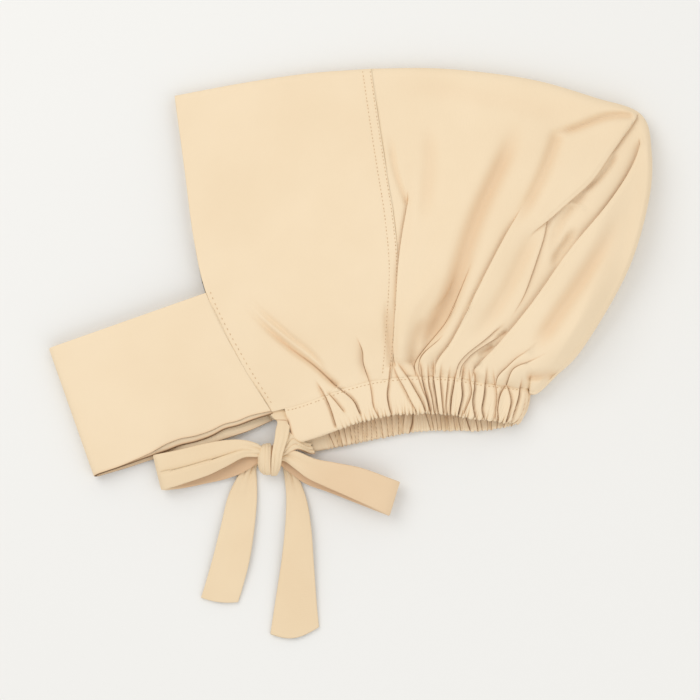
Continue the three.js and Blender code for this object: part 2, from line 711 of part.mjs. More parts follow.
function solid(geometry) {
  const bare = geometry.clone();
  for (const name of Object.keys(bare.attributes)) if (name !== "position") bare.deleteAttribute(name);
  const merged = mergeVertices(bare, 1e-4);
  return new wasm.Manifold(
    new wasm.Mesh({
      numProp: 3,
      vertProperties: new Float32Array(merged.attributes.position.array),
      triVerts: new Uint32Array(merged.index.array),
    }),
  );
}

function geometryFrom(manifold) {
  const mesh = manifold.getMesh();
  const geometry = new THREE.BufferGeometry();
  geometry.setAttribute("position", new THREE.BufferAttribute(new Float32Array(mesh.vertProperties), 3));
  geometry.setIndex(Array.from(mesh.triVerts));
  return geometry;
}

const KNOT_CLEARANCE = 1.4 * seamGap; // the knot's slanting ends take up a part of it
const clearKnot = solid(knotBody(KNOT_CLEARANCE));
const besideKnot = (geometry) => geometryFrom(solid(geometry).subtract(clearKnot));

const jersey = () => new THREE.MeshStandardMaterial({ color: 0xf3dcbd, roughness: 0.9, metalness: 0 });
const cap = new THREE.Group();
function add(name, geometry) {
  const mesh = new THREE.Mesh(geometry, jersey());
  mesh.name = name;
  cap.add(mesh);
}

const [backwards, downwards] = [new THREE.Vector3(1, 0, 0), new THREE.Vector3(0, -1, 0)];
add(
  "front_panel",
  shell(frontSurface, evenly(0, 1, FRONT_COLUMNS), acrossRuns, clothWall, backwards, backwards),
);
add(
  "pouch",
  shell(pouchSurface, evenly(0, 1, POUCH_COLUMNS), acrossRuns, clothWall, backwards, downwards),
);
add("neck_casing", neckCasing());
add("chin_band", chinBand());
add("knot", knotBody());
for (const [name, rows] of Object.entries(bowStrips)) add(name, besideKnot(bowStrip(rows)));
for (const [name, rows] of Object.entries(leads)) add(name, besideKnot(lead(rows)));

// The group is moved so that the origin is on the table in the middle of the cap's box.
const box = new THREE.Box3().setFromObject(cap, true);
const centre = box.getCenter(new THREE.Vector3());
cap.position.set(-centre.x, -centre.y, -box.min.z);
cap.updateMatrixWorld(true);

export default cap;
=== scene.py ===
# %% [markdown]
# # A hijab underscarf cap in cotton jersey, laid on its side
# The real cap is a soft hood of two sewn pieces: a smooth front panel, and a full pouch for the
# hair that is gathered onto an elastic casing at the neck. A folded band goes under the chin, and
# the ties that run through the casing come out at the front in a bow. This lesson dresses the
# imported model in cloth: every piece is a surface worked out with numpy, on the same lines as the
# model's own walls, with the folds, gathers and stitches of the real one laid over them.
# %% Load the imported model
import math

import bmesh
import bpy
import numpy as np
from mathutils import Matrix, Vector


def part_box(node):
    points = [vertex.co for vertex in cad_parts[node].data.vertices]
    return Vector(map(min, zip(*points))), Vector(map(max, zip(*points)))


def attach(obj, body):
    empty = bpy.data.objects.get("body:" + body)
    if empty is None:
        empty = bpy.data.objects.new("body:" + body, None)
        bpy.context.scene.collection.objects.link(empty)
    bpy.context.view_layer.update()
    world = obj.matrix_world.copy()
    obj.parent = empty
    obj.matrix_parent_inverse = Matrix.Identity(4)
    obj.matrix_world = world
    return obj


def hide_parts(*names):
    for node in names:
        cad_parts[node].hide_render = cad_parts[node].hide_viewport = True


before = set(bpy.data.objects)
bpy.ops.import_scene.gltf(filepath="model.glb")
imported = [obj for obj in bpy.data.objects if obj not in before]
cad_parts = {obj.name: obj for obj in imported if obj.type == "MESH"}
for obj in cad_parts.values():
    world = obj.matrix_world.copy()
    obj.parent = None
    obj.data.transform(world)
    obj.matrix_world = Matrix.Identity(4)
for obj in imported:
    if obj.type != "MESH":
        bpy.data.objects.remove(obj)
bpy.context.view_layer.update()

print("packed model:", sorted(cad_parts))

# %% [markdown]
# ## Places in the picture
# The cap was photographed straight from above, so a pixel of the 700 x 700 picture is a place on
# the table: 0.67 mm of it. Something that stands above the table is nearer to the lens and looks
# larger, so its height goes into the sum. Lines that were read off the picture are kept as pixels
# below, because they can then be checked against it by eye.
# %% From pixels to metres
MM = 0.001
PIXEL = 0.67 * MM
MIDDLE_PIXEL = np.array([350.56, 351.53])
LENS_HEIGHT = 2.0
IN_FOCUS = 0.009


def traced(pixels, height=IN_FOCUS):
    """Pixels (column, row) as places (x, y): off the middle, times the pixel, shrunk with height."""
    pixels = np.asarray(pixels, float)
    nearer = (LENS_HEIGHT - height) / (LENS_HEIGHT - IN_FOCUS)
    flat = (pixels - MIDDLE_PIXEL) * [PIXEL, -PIXEL]
    return CAMERA_PLACE + (flat - CAMERA_PLACE) * nearer


CAMERA_PLACE = (np.array([350.0, 350.0]) - MIDDLE_PIXEL) * [PIXEL, -PIXEL]
print("camera stands over", CAMERA_PLACE)


# %% Smooth steps and smooth lines
def lerp(a, b, share):
    """a at share 0 and b at share 1, in a straight line."""
    return a + (b - a) * share


def smoothstep(x, low, high):
    """0 below low, 1 above high, and 3t^2 - 2t^3 in between."""
    t = np.clip((x - low) / (high - low), 0, 1)
    return t * t * (3 - 2 * t)


def bell(x, width):
    """A bell curve, 1 in the middle: e to the power of minus (x over width) squared."""
    return np.exp(-((x / width) ** 2))


def arch(x):
    """Half a sine wave: 0 at 0, 1 halfway, and 0 again at 1."""
    return np.sin(math.pi * x)


def sine(x):
    """A sine wave that repeats with every 1 of x."""
    return np.sin(2 * math.pi * x)


def unit(ways):
    """Ways scaled to length one."""
    return ways / np.maximum(np.linalg.norm(ways, axis=-1, keepdims=True), 1e-12)


def run_along(line):
    """How far along a line each of its points stands: the lengths of its steps, added up."""
    return np.append(0, np.cumsum(np.linalg.norm(np.diff(line, axis=0), axis=1)))


def evened(rows, times):
    """Rows of which all but the ends are drawn towards their neighbours' mean, so many times."""
    rows = rows.copy()
    for _ in range(times):
        rows[1:-1] = (rows[:-2] + 2 * rows[1:-1] + rows[2:]) / 4
    return rows


def smooth_line(rows, t):
    """A curve through all rows at once: cubics that pass each row in the way of its neighbours."""
    rows = np.asarray(rows, float)
    p = np.vstack([2 * rows[0] - rows[1], rows, 2 * rows[-1] - rows[-2]])
    run = np.clip(t, 0, 1) * (len(rows) - 1)
    i = np.minimum(run.astype(int), len(rows) - 2)
    f = (run - i)[..., None]
    a, b, c, d = p[i], p[i + 1], p[i + 2], p[i + 3]
    return 0.5 * (2 * b + (c - a) * f + (2 * a - 5 * b + 4 * c - d) * f**2 + (3 * b - a - 3 * c + d) * f**3)


hill = [[0, 0], [1, 1], [2, 0]]
print("a smooth line through three rows, at its middle:", smooth_line(hill, np.array([0.5])))

# %% [markdown]
# ## Jersey
# The cap is sewn from a fine single-knit cotton jersey with a little elastane. Knitting gives
# columns of small loops, less than half a millimetre apart, that run the length of each piece.
# They are too fine to show from here, so they are drawn a good deal coarser and very shallow.
# Brushed fibre ends catch light at a grazing angle, which is what sheen is for. Where cloth is
# tucked into a fold it is lit through its neighbours, looks redder and lies in shade, and that
# shade is painted into the colour: each piece carries a number at every point for how much painted
# shade it gets, and the colour follows that number.
# %% Colours and one function that adds a node
def linear(hex_colour):
    """An sRGB hex colour as linear red, green and blue: ((c + 0.055) / 1.055)^2.4 above 0.04045."""
    shades = [int(hex_colour[i : i + 2], 16) / 255 for i in (1, 3, 5)]
    return [c / 12.92 if c <= 0.04045 else ((c + 0.055) / 1.055) ** 2.4 for c in shades] + [1.0]


def new_material(name, settings):
    """A material whose one shader has the given settings, and that shader."""
    material = bpy.data.materials.new(name)
    material.use_nodes = True
    shader = material.node_tree.nodes["Principled BSDF"]
    for key, value in settings.items():
        shader.inputs[key].default_value = value
    return material, shader


def add_node(material, kind, settings=None, links=None):
    """A shader node with its settings, and with a link into each input that links names."""
    node = material.node_tree.nodes.new("ShaderNode" + kind)
    for key, value in (settings or {}).items():
        if isinstance(key, int) or key in node.inputs:
            node.inputs[key].default_value = value
        else:
            setattr(node, key, value)
    for key, source in (links or {}).items():
        material.node_tree.links.new(source, node.inputs[key])
    return node


# The two colours of a colour mix are its inputs 6 and 7, and its result is output 2.
MIX_FIRST, MIX_SECOND, MIX_RESULT = 6, 7, 2
print("cream jersey in linear light:", [round(c, 3) for c in linear("#f3dcbd")[:3]])


# %% Knitted jersey
# Wales 1.1 mm apart, drawn about three times as coarse as they are, in the cloth's own run.
WALE_SCALE = 2 * math.pi / 1.1 / 20 * 1000
KNIT_RELIEF = 0.12 * MM


def knitted_jersey(name, cream, shade, warm_shade, dark_shade):
    """Cream cloth with a faint patchiness, painted shade that runs warm and then dark brown into folds, and
    a knit.
    """
    material, cloth = new_material(name, {
        "Roughness": 0.92,
        "IOR": 1.45,
        "Specular IOR Level": 0.25,
        "Sheen Weight": 0.12,
        "Sheen Roughness": 0.5,
        "Sheen Tint": linear("#fff1dd"),
    })
    place = add_node(material, "TexCoord")
    patches = add_node(material, "TexNoise", {"Scale": 14.0, "Detail": 3.0, "Roughness": 0.55},
                       {"Vector": place.outputs["Object"]})
    tone = add_node(material, "MapRange", {"From Min": 0.35, "From Max": 0.65},
                    {"Value": patches.outputs["Fac"]})
    plain = add_node(material, "Mix",
                     {"data_type": "RGBA", MIX_FIRST: linear(shade), MIX_SECOND: linear(cream)},
                     {"Factor": tone.outputs["Result"]})
    # Painted shade: the painted_shade number mixes the colour towards warm and then dark brown.
    painted_shade = add_node(material, "Attribute", {"attribute_name": "painted_shade"})
    depth = add_node(material, "ValToRGB", None, {"Fac": painted_shade.outputs["Fac"]})
    first, last = depth.color_ramp.elements
    first.position, first.color, last.color = 0.35, linear(warm_shade), linear(dark_shade)
    colour = add_node(material, "Mix", {"data_type": "RGBA"}, {
        "Factor": painted_shade.outputs["Fac"],
        MIX_FIRST: plain.outputs[MIX_RESULT],
        MIX_SECOND: depth.outputs["Color"],
    })
    wales = add_node(material, "TexWave",
                     {"Scale": WALE_SCALE, "Distortion": 1.2, "Detail": 2.0, "Detail Scale": 2.0},
                     {"Vector": place.outputs["UV"]})
    fuzz = add_node(material, "TexNoise", {"Scale": 900.0, "Detail": 2.0},
                    {"Vector": place.outputs["Object"]})
    knit = add_node(material, "Math", {"operation": "ADD"},
                    {0: wales.outputs["Fac"], 1: fuzz.outputs["Fac"]})
    bump = add_node(material, "Bump", {"Strength": 0.25, "Distance": KNIT_RELIEF},
                    {"Height": knit.outputs[0]})
    material.node_tree.links.new(colour.outputs[MIX_RESULT], cloth.inputs["Base Color"])
    material.node_tree.links.new(bump.outputs["Normal"], cloth.inputs["Normal"])
    return material


# The last two colours of each are painted shade: warm for soft folds and dark brown for creases.
JERSEY = knitted_jersey("cotton jersey, knitted", "#ecd8b9", "#e9d4b4", "#cf9c6c", "#77593d")
TIE_JERSEY = knitted_jersey("cotton jersey tie, knitted", "#e8d3b2", "#e4cdab", "#c98f62", "#77593d")
print("finishes:", [m.name for m in bpy.data.materials])

# %% [markdown]
# ## A wall of cloth
# Each piece is a grid of points, computed as whole arrays. Cloth has two sides, so a second,
# coarser grid follows inside, and the two are joined round their edges into one closed wall. The
# side that the eye follows has the fine grid.
# %% From grids to a piece
def new_piece(name, points, faces, material, nodes, painted_shade=None, weave=None):
    """A mesh object from points and faces, smooth, facing outwards, riding on the cap's body."""
    mesh = bpy.data.meshes.new(name)
    mesh.from_pydata(np.asarray(points).reshape(-1, 3), [], faces)
    # The painted_shade number at every point, which paints shade into the colour.
    if painted_shade is not None:
        layer = mesh.attributes.new("painted_shade", "FLOAT", "POINT")
        layer.data.foreach_set("value", np.ravel(painted_shade).astype(np.float32))
    if weave is not None:
        corners = np.empty(len(mesh.loops), np.int32)
        mesh.loops.foreach_get("vertex_index", corners)
        mesh.uv_layers.new(name="weave").data.foreach_set("uv", weave.reshape(-1, 2)[corners].ravel())
    shape = bmesh.new()
    shape.from_mesh(mesh)
    bmesh.ops.recalc_face_normals(shape, faces=shape.faces)
    shape.to_mesh(mesh)
    shape.free()
    mesh.shade_smooth()
    mesh.materials.append(material)
    piece = bpy.data.objects.new(name, mesh)
    bpy.context.collection.objects.link(piece)
    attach(piece, "root")
    if nodes:
        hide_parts(*nodes)
    areas = np.empty(len(mesh.polygons))
    mesh.polygons.foreach_get("area", areas)
    cloth = areas.sum() / 2 * 1e4
    print(f"{name}: {len(mesh.vertices)} points, {len(areas)} faces, {cloth:.1f} cm2 of cloth")
    return piece


def grid_faces(ids):
    """The four-cornered faces of a grid of point numbers."""
    corners = [ids[:-1, :-1], ids[1:, :-1], ids[1:, 1:], ids[:-1, 1:]]
    return np.stack(corners, -1).reshape(-1, 4).tolist()


def closed_tube(rings):
    """Faces of rings joined one to the next, and a cap of many corners at either end."""
    count, around = rings.shape[:2]
    ids = np.arange(count * around).reshape(count, around)
    faces = grid_faces(np.column_stack([ids, ids[:, 0]]))
    return faces + [ids[0, ::-1].tolist(), ids[-1].tolist()]


def thinned(count, step):
    """Every step-th of count numbers, and the last one."""
    return np.unique(np.append(np.arange(0, count, step), count - 1))


def closed_wall(outer, inner, rows, columns):
    """A fine grid, a coarse one that has only its given rows and columns, and the rims between."""
    fine = np.arange(outer.shape[0] * outer.shape[1]).reshape(outer.shape[:2])
    coarse = fine.size + np.arange(len(rows) * len(columns)).reshape(len(rows), len(columns))
    faces = grid_faces(fine) + grid_faces(coarse[::-1])
    sides = [
        (fine[0], coarse[0], columns),
        (fine[-1], coarse[-1], columns),
        (fine[:, 0], coarse[:, 0], rows),
        (fine[:, -1], coarse[:, -1], rows),
    ]
    for edge, inside, kept in sides:
        for k in range(len(kept) - 1):
            span = edge[kept[k] : kept[k + 1] + 1].tolist()
            faces.append(span + [int(inside[k + 1]), int(inside[k])])
    points = np.vstack([outer.reshape(-1, 3), inner.reshape(-1, 3)])
    return points, faces


print("a grid of 3 by 4 points has", len(grid_faces(np.arange(12).reshape(3, 4))), "faces")

# %% [markdown]
# ## The hood's wall
# Laid flat, the hood is doubled: its far half lies on the table, goes round in a soft fold along
# the top and the back, and comes back as the near half, which the pouch's own fullness holds up.
# One function gives that wall for both pieces. u runs from front to back, and w from 1 on the
# near hem over 0 on the fold to -1 on the far hem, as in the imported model, so that the cloth lies
# where the model's wall is.
# %% The hood's lines
HOOD_DEPTH = 320 * MM
HOOD_HEIGHT = 230 * MM
FOLD_THICKNESS = 17 * MM
# How high the wall's middle stands at the near and at the far hem.
HEM_LIFT, FAR_LIFT = 15.5 * MM, 2.4 * MM
HEM_RAMP = 25 * MM
CLOTH = 1.2 * MM
# The fold takes up at least this share of w, so that its rows don't crowd.
LEAST_FOLD = 0.25

knot_low, knot_high = (np.array(corner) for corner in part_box("knot"))
KNOT = (knot_low + knot_high) / 2
HOOD_CORNER = KNOT[:2] - np.array([0.199 * HOOD_DEPTH, -0.138 * HOOD_HEIGHT])

# x and y are shares of the hood's depth and height, fold a share of its thickness.
PANEL_TOP = [(0, 0.92, 0.44), (0.142, 0.957, 0.46), (0.28, 0.985, 0.52), (0.412, 0.9985, 0.6)]
POUCH_OUTLINE = [
    (0.412, 0.9985, 0.6), (0.535, 1, 0.66), (0.65, 0.987, 0.72), (0.765, 0.961, 0.78),
    (0.879, 0.914, 0.82), (0.975, 0.866, 0.86), (0.997, 0.76, 0.94), (0.991, 0.615, 1),
    (0.947, 0.411, 1), (0.857, 0.193, 0.8), (0.8, 0.111, 0.62), (0.74036, 0.0698, 0.5518)
]
FACE_EDGE = [(0.204, 0), (0.137, 0.15), (0.07, 0.333), (0.041, 0.499), (0.02, 0.717), (0, 0.92)]
CROWN_SEAM = [
    (0.4534, 0.0974), (0.462, 0.25), (0.468, 0.42), (0.4585, 0.57), (0.445, 0.69), (0.43, 0.825),
    (0.412, 0.9985)
]
# x and y as above, and lift, the wall's height as a share of the highest.
NEAR_HEM = [
    (0.204, 0, 0.6), (0.2685, 0.0233, 0.68), (0.3759, 0.0762, 0.86), (0.4534, 0.0974, 0.96),
    (0.5246, 0.1023, 1), (0.5895, 0.0974, 1), (0.6461, 0.0837, 0.92), (0.7257, 0.0698, 0.76)
]
FAR_HEM = [
    (0.204, -0.0247), (0.2685, -0.0145), (0.3759, 0.0145), (0.4723, 0.0422), (0.5333, 0.0505),
    (0.5895, 0.0509), (0.6461, 0.0509), (0.7257, 0.0698)
]
SEAM_ON_HEM = 3 / 7


def in_metres(rows):
    """Shares of the hood as places on the table; a third number stays as it is."""
    rows = np.array(rows, float)
    rows[:, :2] = rows[:, :2] * [HOOD_DEPTH, HOOD_HEIGHT] + HOOD_CORNER
    return rows


panel_top, pouch_outline = in_metres(PANEL_TOP), in_metres(POUCH_OUTLINE)
face_edge, crown_seam = in_metres(FACE_EDGE), in_metres(CROWN_SEAM)
near_hem, far_hem = in_metres(NEAR_HEM), in_metres(FAR_HEM)
HEM_TURN = (NEAR_HEM[-1][2] * HEM_LIFT - FAR_LIFT) / 2
print("crown seam, mm:", round(1000 * run_along(smooth_line(crown_seam, np.linspace(0, 1, 200)))[-1]))


# %% One wall for both pieces
def hood_wall(u, w, hem_from, hem_to, outline, left, right, bulge):
    """Half an ellipse round the fold, then straight to the hem in plan while the height eases down.

    The plan is a patch between hem and outline whose straight sides are bent to the lines left
    and right. The near half adds the given bulge, as half a sine wave from fold to hem.
    """
    near = w >= 0
    hem_t = lerp(hem_from, hem_to, u)
    near_at = smooth_line(near_hem, hem_t)
    hem = np.where(near[..., None], near_at[..., :2], smooth_line(far_hem, hem_t))
    hem_height = np.where(near, near_at[..., 2] * HEM_LIFT, FAR_LIFT)
    top = smooth_line(outline, u)
    fold, top = top[..., 2] * FOLD_THICKNESS, top[..., :2]
    length = np.linalg.norm(hem - top, axis=-1)
    edge = np.minimum(fold / 2, length)
    arc = edge * math.pi / 2
    share = np.maximum(LEAST_FOLD, arc / (arc + length - edge + 1e-9))
    turned = np.minimum(np.abs(w) / share, 1) * math.pi / 2
    run = np.clip((np.abs(w) - share) / np.maximum(1 - share, 1e-6), 0, 1)
    from_top = edge * (1 - np.cos(turned)) + (length - edge) * run
    q = np.clip(1 - from_top / length, 0, 1)
    plan = lerp(hem, top, q[..., None])
    for line, weight in ((left, 1 - u), (right, u)):
        if line is not None:
            straight = lerp(line[0], line[-1], q[..., None])
            plan = plan + (smooth_line(line, q) - straight) * weight[..., None]
    rising = 0 if right is not None else smoothstep(u, 0.8, 1)
    floor = lerp(CLOTH / 2, FAR_LIFT, rising)
    low = floor + fold / 2 * (1 - np.sin(turned))
    ramp = 1 - smoothstep(length - from_top, 0, HEM_RAMP)
    low = low + (hem_height - floor) * ramp * turned / (math.pi / 2)
    high = lerp(floor + fold / 2 * (1 + np.sin(turned)), hem_height, smoothstep(run, 0, 1))
    high = high + bulge * arch(run**0.75) * smoothstep(run, -0.02, 0.3)
    height = np.where(near, high, low)
    return np.concatenate([plan, height[..., None]], -1), run, length - from_top


def panel_wall(u, w):
    """The smooth front piece, from the face edge to the crown seam."""
    bulge = 3 * MM * lerp(0.4, 2, u)
    return hood_wall(u, w, 0, SEAM_ON_HEM, panel_top, face_edge, crown_seam, bulge)


def pouch_wall(u, w):
    """The full back piece, from the crown seam round to the nape."""
    bulge = lerp(6 * MM, 13 * MM, smoothstep(u, 0, 0.3)) * (1 - smoothstep(u, 0.75, 1))
    return hood_wall(u, w, SEAM_ON_HEM, 1, pouch_outline, crown_seam, None, bulge)


pouch_check = pouch_wall(*np.meshgrid(np.linspace(0, 1, 29), np.linspace(-1, 1, 29), indexing="ij"))[0]
print("pouch, mm:", np.round(1000 * pouch_check.min((0, 1))), np.round(1000 * pouch_check.max((0, 1))))

# %% [markdown]
# ## Folds
# The pouch is cut fuller than the neck, so the spare cloth runs up from the hem in folds that
# fan out towards its back corner. Where a fold is full enough it laps: the high side rolls over
# its neighbour and tucks back under, and the eye sees one thin dark line. Elsewhere it is just a
# broad soft hollow. Each fold follows a line read off the picture, and its shape is a function
# of the distance from that line.
# %% Distance from a line
def beside(place, line, reach=45 * MM):
    """Places seen from a line of points: how far to its side, the share of its length, the side way.

    The side is positive on the right of a line that is traced down the picture. Places that are
    further than reach from the line's box are left out, as a metre away.
    """
    side, along, way = np.ones(place.shape[:-1]), np.zeros(place.shape[:-1]), np.zeros(place.shape)
    inside = np.all((place > line.min(0) - reach) & (place < line.max(0) + reach), axis=-1)
    near = place[inside]
    lengths = run_along(line)
    best = np.full(len(near), np.inf)
    near_side, near_along, near_way = np.zeros(len(near)), np.zeros(len(near)), np.zeros(near.shape)
    for k in range(len(line) - 1):
        run = line[k + 1] - line[k]
        off = near - line[k]
        t = np.clip((off @ run) / (run @ run), 0, 1)
        off = off - t[:, None] * run
        gap = np.hypot(off[:, 0], off[:, 1])
        closer = gap < best
        best[closer] = gap[closer]
        near_along[closer] = (lengths[k] + t[closer] * (lengths[k + 1] - lengths[k])) / lengths[-1]
        near_side[closer] = np.sign(run[0] * off[closer, 1] - run[1] * off[closer, 0])
        near_way[closer] = np.array([-run[1], run[0]]) / np.linalg.norm(run)
    side[inside], along[inside], way[inside] = best * near_side, near_along, near_way
    return side, along, way


line_down = np.array([[0, 0.1], [0, 0]])
print("10 mm to the right of a line:", 1000 * beside(np.array([[0.01, 0.05]]), line_down)[0], "mm")

# %% Laps, read off the picture
# Laps, from the apex down to the hem, each as ten numbers and its line:
# - high: the side that rolls over, -1 left or 1 right
# - rise, dip, over: how high it stands, how deep the tucked side goes and how far the roll
#   reaches past the line, in millimetres
# - roll, spread, low: how wide the roll, the swell beyond it and the hollow are, in millimetres
# - opens, closes: the shares of the line over which the fold opens and closes
# - dark: how dark the painted shade along the line is
LAPS = {
    "apex lap": (-1, 2.8, 1.0, 1.5, 2.4, 16, 4.5, 0.03, 0.25, 1.5, [
        (640, 112), (626, 132), (607, 158), (590, 182), (567, 202), (545, 222), (534, 232), (524, 243)]),
    "hairline": (-1, 1.0, 0.8, 0.6, 1.4, 8, 3, 0.06, 0.5, 1.5, [
        (547.5, 217), (545.5, 226), (543, 238), (537, 257), (530, 278), (522, 300), (508, 322)]),
    "long lap": (1, 3.2, 1.2, 1.6, 2.6, 18, 5, 0.05, 0.05, 1.5, [
        (637, 136), (642, 146), (630, 174), (602, 213), (567, 253), (539, 296), (502, 342), (482, 362),
        (473, 374), (471.6, 383)]),
    "middle lap": (1, 2.4, 1.2, 1.3, 2.4, 12, 4, 0.25, 0.05, 1.5, [
        (527, 196), (512, 224), (492, 262), (471, 304), (453.6, 340), (442.8, 354.4), (436.5, 365.2),
        (435.6, 378)]),
    "seam lap": (1, 1.9, 0.7, 1.1, 2.4, 12, 2.5, 0.14, 0.06, 1.5, [
        (407, 186), (408.5, 202), (403, 232), (399, 262), (397, 290), (395, 320), (393.5, 345),
        (395.5, 368)]),
    "lower lap": (1, 1.4, 2.8, 0.5, 2.6, 9, 7, 0.35, 0.05, 1.5, [
        (476, 252), (464, 282), (456, 302), (447, 322), (430.7, 341.8), (416.7, 359.8), (415, 369),
        (417.6, 381)]),
    "hem lap": (1, 0.9, 0.6, 0.5, 1.6, 4, 2, 0.4, 0.05, 1.5, [
        (446, 330), (439, 340), (426.6, 350.8), (420.3, 359.8), (419.4, 370.6), (423, 383)]),
    "layer lap": (-1, 0.9, 0.8, 0.6, 1.6, 5, 2.5, 0.3, 0.08, 1.5, [
        (508, 322), (495, 331), (484, 340), (469.8, 350.8), (460.8, 359.8), (457, 367), (455.5, 380)]),
    "under lap": (-1, 0.8, 1.2, 0.6, 1.6, 4, 4, 0.25, 0.08, 1.5, [
        (503, 335), (488, 343), (473.4, 352.6), (466.2, 359.8), (461, 367), (459.5, 380)]),
    "corner lap": (1, 0.9, 1.2, 0.5, 1.8, 6, 4, 0.85, 0.05, 1.5, [
        (545, 337), (527, 351), (516.6, 358), (507.6, 367), (498.6, 376), (496, 386)]),
    "edge lap": (1, 0.9, 1.4, 0.5, 1.8, 6, 4, 0.85, 0.05, 1.5, [
        (552, 350), (529, 361.6), (520, 365), (512, 371), (506.5, 387)]),
    "valley lip": (-1, 0.5, 0.8, 0.1, 2.4, 6, 4, 0.5, 0.4, 0.25, [
        (459, 268), (452, 284), (446, 296), (438, 306), (428, 318)]),
    "panel lap": (1, 0.8, 2.4, 0.4, 1.8, 6, 4.2, 0.5, 0.03, 1.5, [
        (355, 334), (362.5, 350), (363.5, 362), (366, 371), (369.5, 382)]),
}
print(len(LAPS), "laps, and the highest is", max(lap[1] for lap in LAPS.values()), "mm")

# %% Hollows and swells, read off the picture
# Hollows, or swells where the depth is below 0: depth and width to the slope in millimetres, the
# shares over which it opens and closes, how dark a painted crease line in its middle is, and the line.
HOLLOWS = {
    "from the apex": (3.9, 2.7, 0.08, 0.3, 0.3, [
        (637, 115), (612, 114.5), (594, 120), (576, 127.5), (559, 131.5), (549, 133)]),
    "down from it": (4.4, 4.2, 0.12, 0.35, 0, [
        (560, 127), (555, 142), (546.5, 165), (536, 188), (524, 211), (512, 232)]),
    "swell between": (-2.0, 8, 0.25, 0.35, 0, [
        (600, 130), (580, 150), (560, 172), (542, 196), (524, 222), (508, 250)]),
    "broad": (6.6, 6.0, 0.22, 0.12, 0, [
        (522, 118), (514, 135), (507, 153), (494, 181), (480, 208), (471.5, 232), (464, 256),
        (457, 279), (449, 300), (440, 317), (428, 336), (420, 354)]),
    "by the hem": (2.8, 3.8, 0.3, 0.08, 0, [(430, 316), (420, 330), (414.5, 345), (412, 366)]),
    "between the laps": (2.7, 4.6, 0.25, 0.35, 0, [
        (541, 224), (529, 245), (517, 270), (507, 290), (496, 308), (482, 328), (468, 344)]),
    "pocket by the long lap": (1.6, 1.8, 0.5, 0.2, 0.6, [(494, 340), (499, 337), (504, 334), (508, 330)]),
    "red pocket": (2.0, 2.4, 0.35, 0.2, 0.45, [(476, 355), (482, 353), (488, 350), (495, 345)]),
    "faint": (2.3, 5, 0.3, 0.4, 0, [(430, 115), (430, 153), (428, 185), (425, 212), (416, 236)]),
    "in the lap": (2.2, 2.6, 0.2, 0.25, 0.2, [
        (618, 150), (612, 161), (600, 177), (590, 186), (580, 196)]),
    "ridge in the lap": (-1.5, 1.4, 0.3, 0.4, 0, [(563, 203), (572, 204), (580, 207), (587, 214)]),
    "pocket": (2.2, 3.2, 0.15, 0.5, 0, [
        (588, 189), (578, 199), (566, 213), (558, 226), (552, 246), (548, 262)]),
    "second pocket": (2.9, 3.2, 0.3, 0.3, 0, [(576, 226), (568, 240), (558, 254), (551, 270)]),
    "back": (5.0, 5.4, 0.35, 0.2, 0, [
        (622, 205), (606, 238), (590, 266), (570, 296), (554, 320), (541, 340), (530, 354)]),
    "back swell": (-3.9, 9, 0.25, 0.2, 0, [
        (648, 176), (637, 228), (620, 268), (600, 302), (577, 334), (554, 358)]),
    "corner": (4.4, 2.8, 0.3, 0.2, 0.15, [(560, 371), (549, 374), (537, 376), (524, 376)]),
    "panel crease": (3.2, 2.4, 0.5, 0.02, 0.9, [
        (236, 296), (256, 318), (274, 335), (295, 352), (311, 363), (324, 374.5), (338, 388)]),
    "beside the crease": (1.7, 1.8, 0.35, 0.2, 0.15, [
        (244, 294), (258, 308), (275, 323), (295, 340), (309, 350), (320, 362), (329, 375)]),
    "ridge of the crease": (-0.7, 1.5, 0.3, 0.4, 0, [(252, 307), (265, 321), (282, 335), (300, 350)]),
    "panel, broad": (1.4, 8, 0.5, 0.3, 0, [(235, 285), (262, 312), (285, 335), (306, 352), (322, 366)]),
    "beside the seam": (1.9, 2.2, 0.35, 0.1, 0.15, [
        (390, 128), (393, 158), (398, 179), (405, 197), (409, 208)]),
    "left of the seam": (2.8, 3.2, 0.4, 0.04, 0, [(389, 292), (388.5, 318), (390, 342), (392.5, 368)]),
    "seam side": (0.9, 4, 0.4, 0.3, 0, [(412, 150), (410, 185), (409, 215), (406, 245), (403, 270)]),
    "lower swell": (-2.2, 5, 0.3, 0.2, 0, [(442, 262), (426, 290), (410, 312), (402, 336), (401, 364)]),
    "under the fold": (1.1, 6, 0.3, 0.3, 0, [
        (385, 84), (430, 88), (475, 95), (515, 103), (555, 113), (590, 122)]),
}
print(len(HOLLOWS), "hollows, and the deepest is", max(hollow[0] for hollow in HOLLOWS.values()), "mm")

# %% Smooth lines from the traced ones
FOLD_HEIGHT = 0.022


def smoothed(pixels, height=FOLD_HEIGHT, count=36):
    """A traced line as a smooth one of count points, evened out four times."""
    return evened(smooth_line(traced(pixels, height), np.linspace(0, 1, count)), 4)


def open_between(along, opens, closes):
    """A fold's strength along its line: 0 at both ends, easing up to 1 over the given shares."""
    return smoothstep(along, 0, opens) * (1 - smoothstep(along, 1 - closes, 1))


lap_lines = {name: smoothed(lap[-1]) for name, lap in LAPS.items()}
hollow_lines = {name: smoothed(hollow[-1], count=24) for name, hollow in HOLLOWS.items()}
print("the long lap is", round(1000 * run_along(lap_lines["long lap"])[-1]), "mm long")


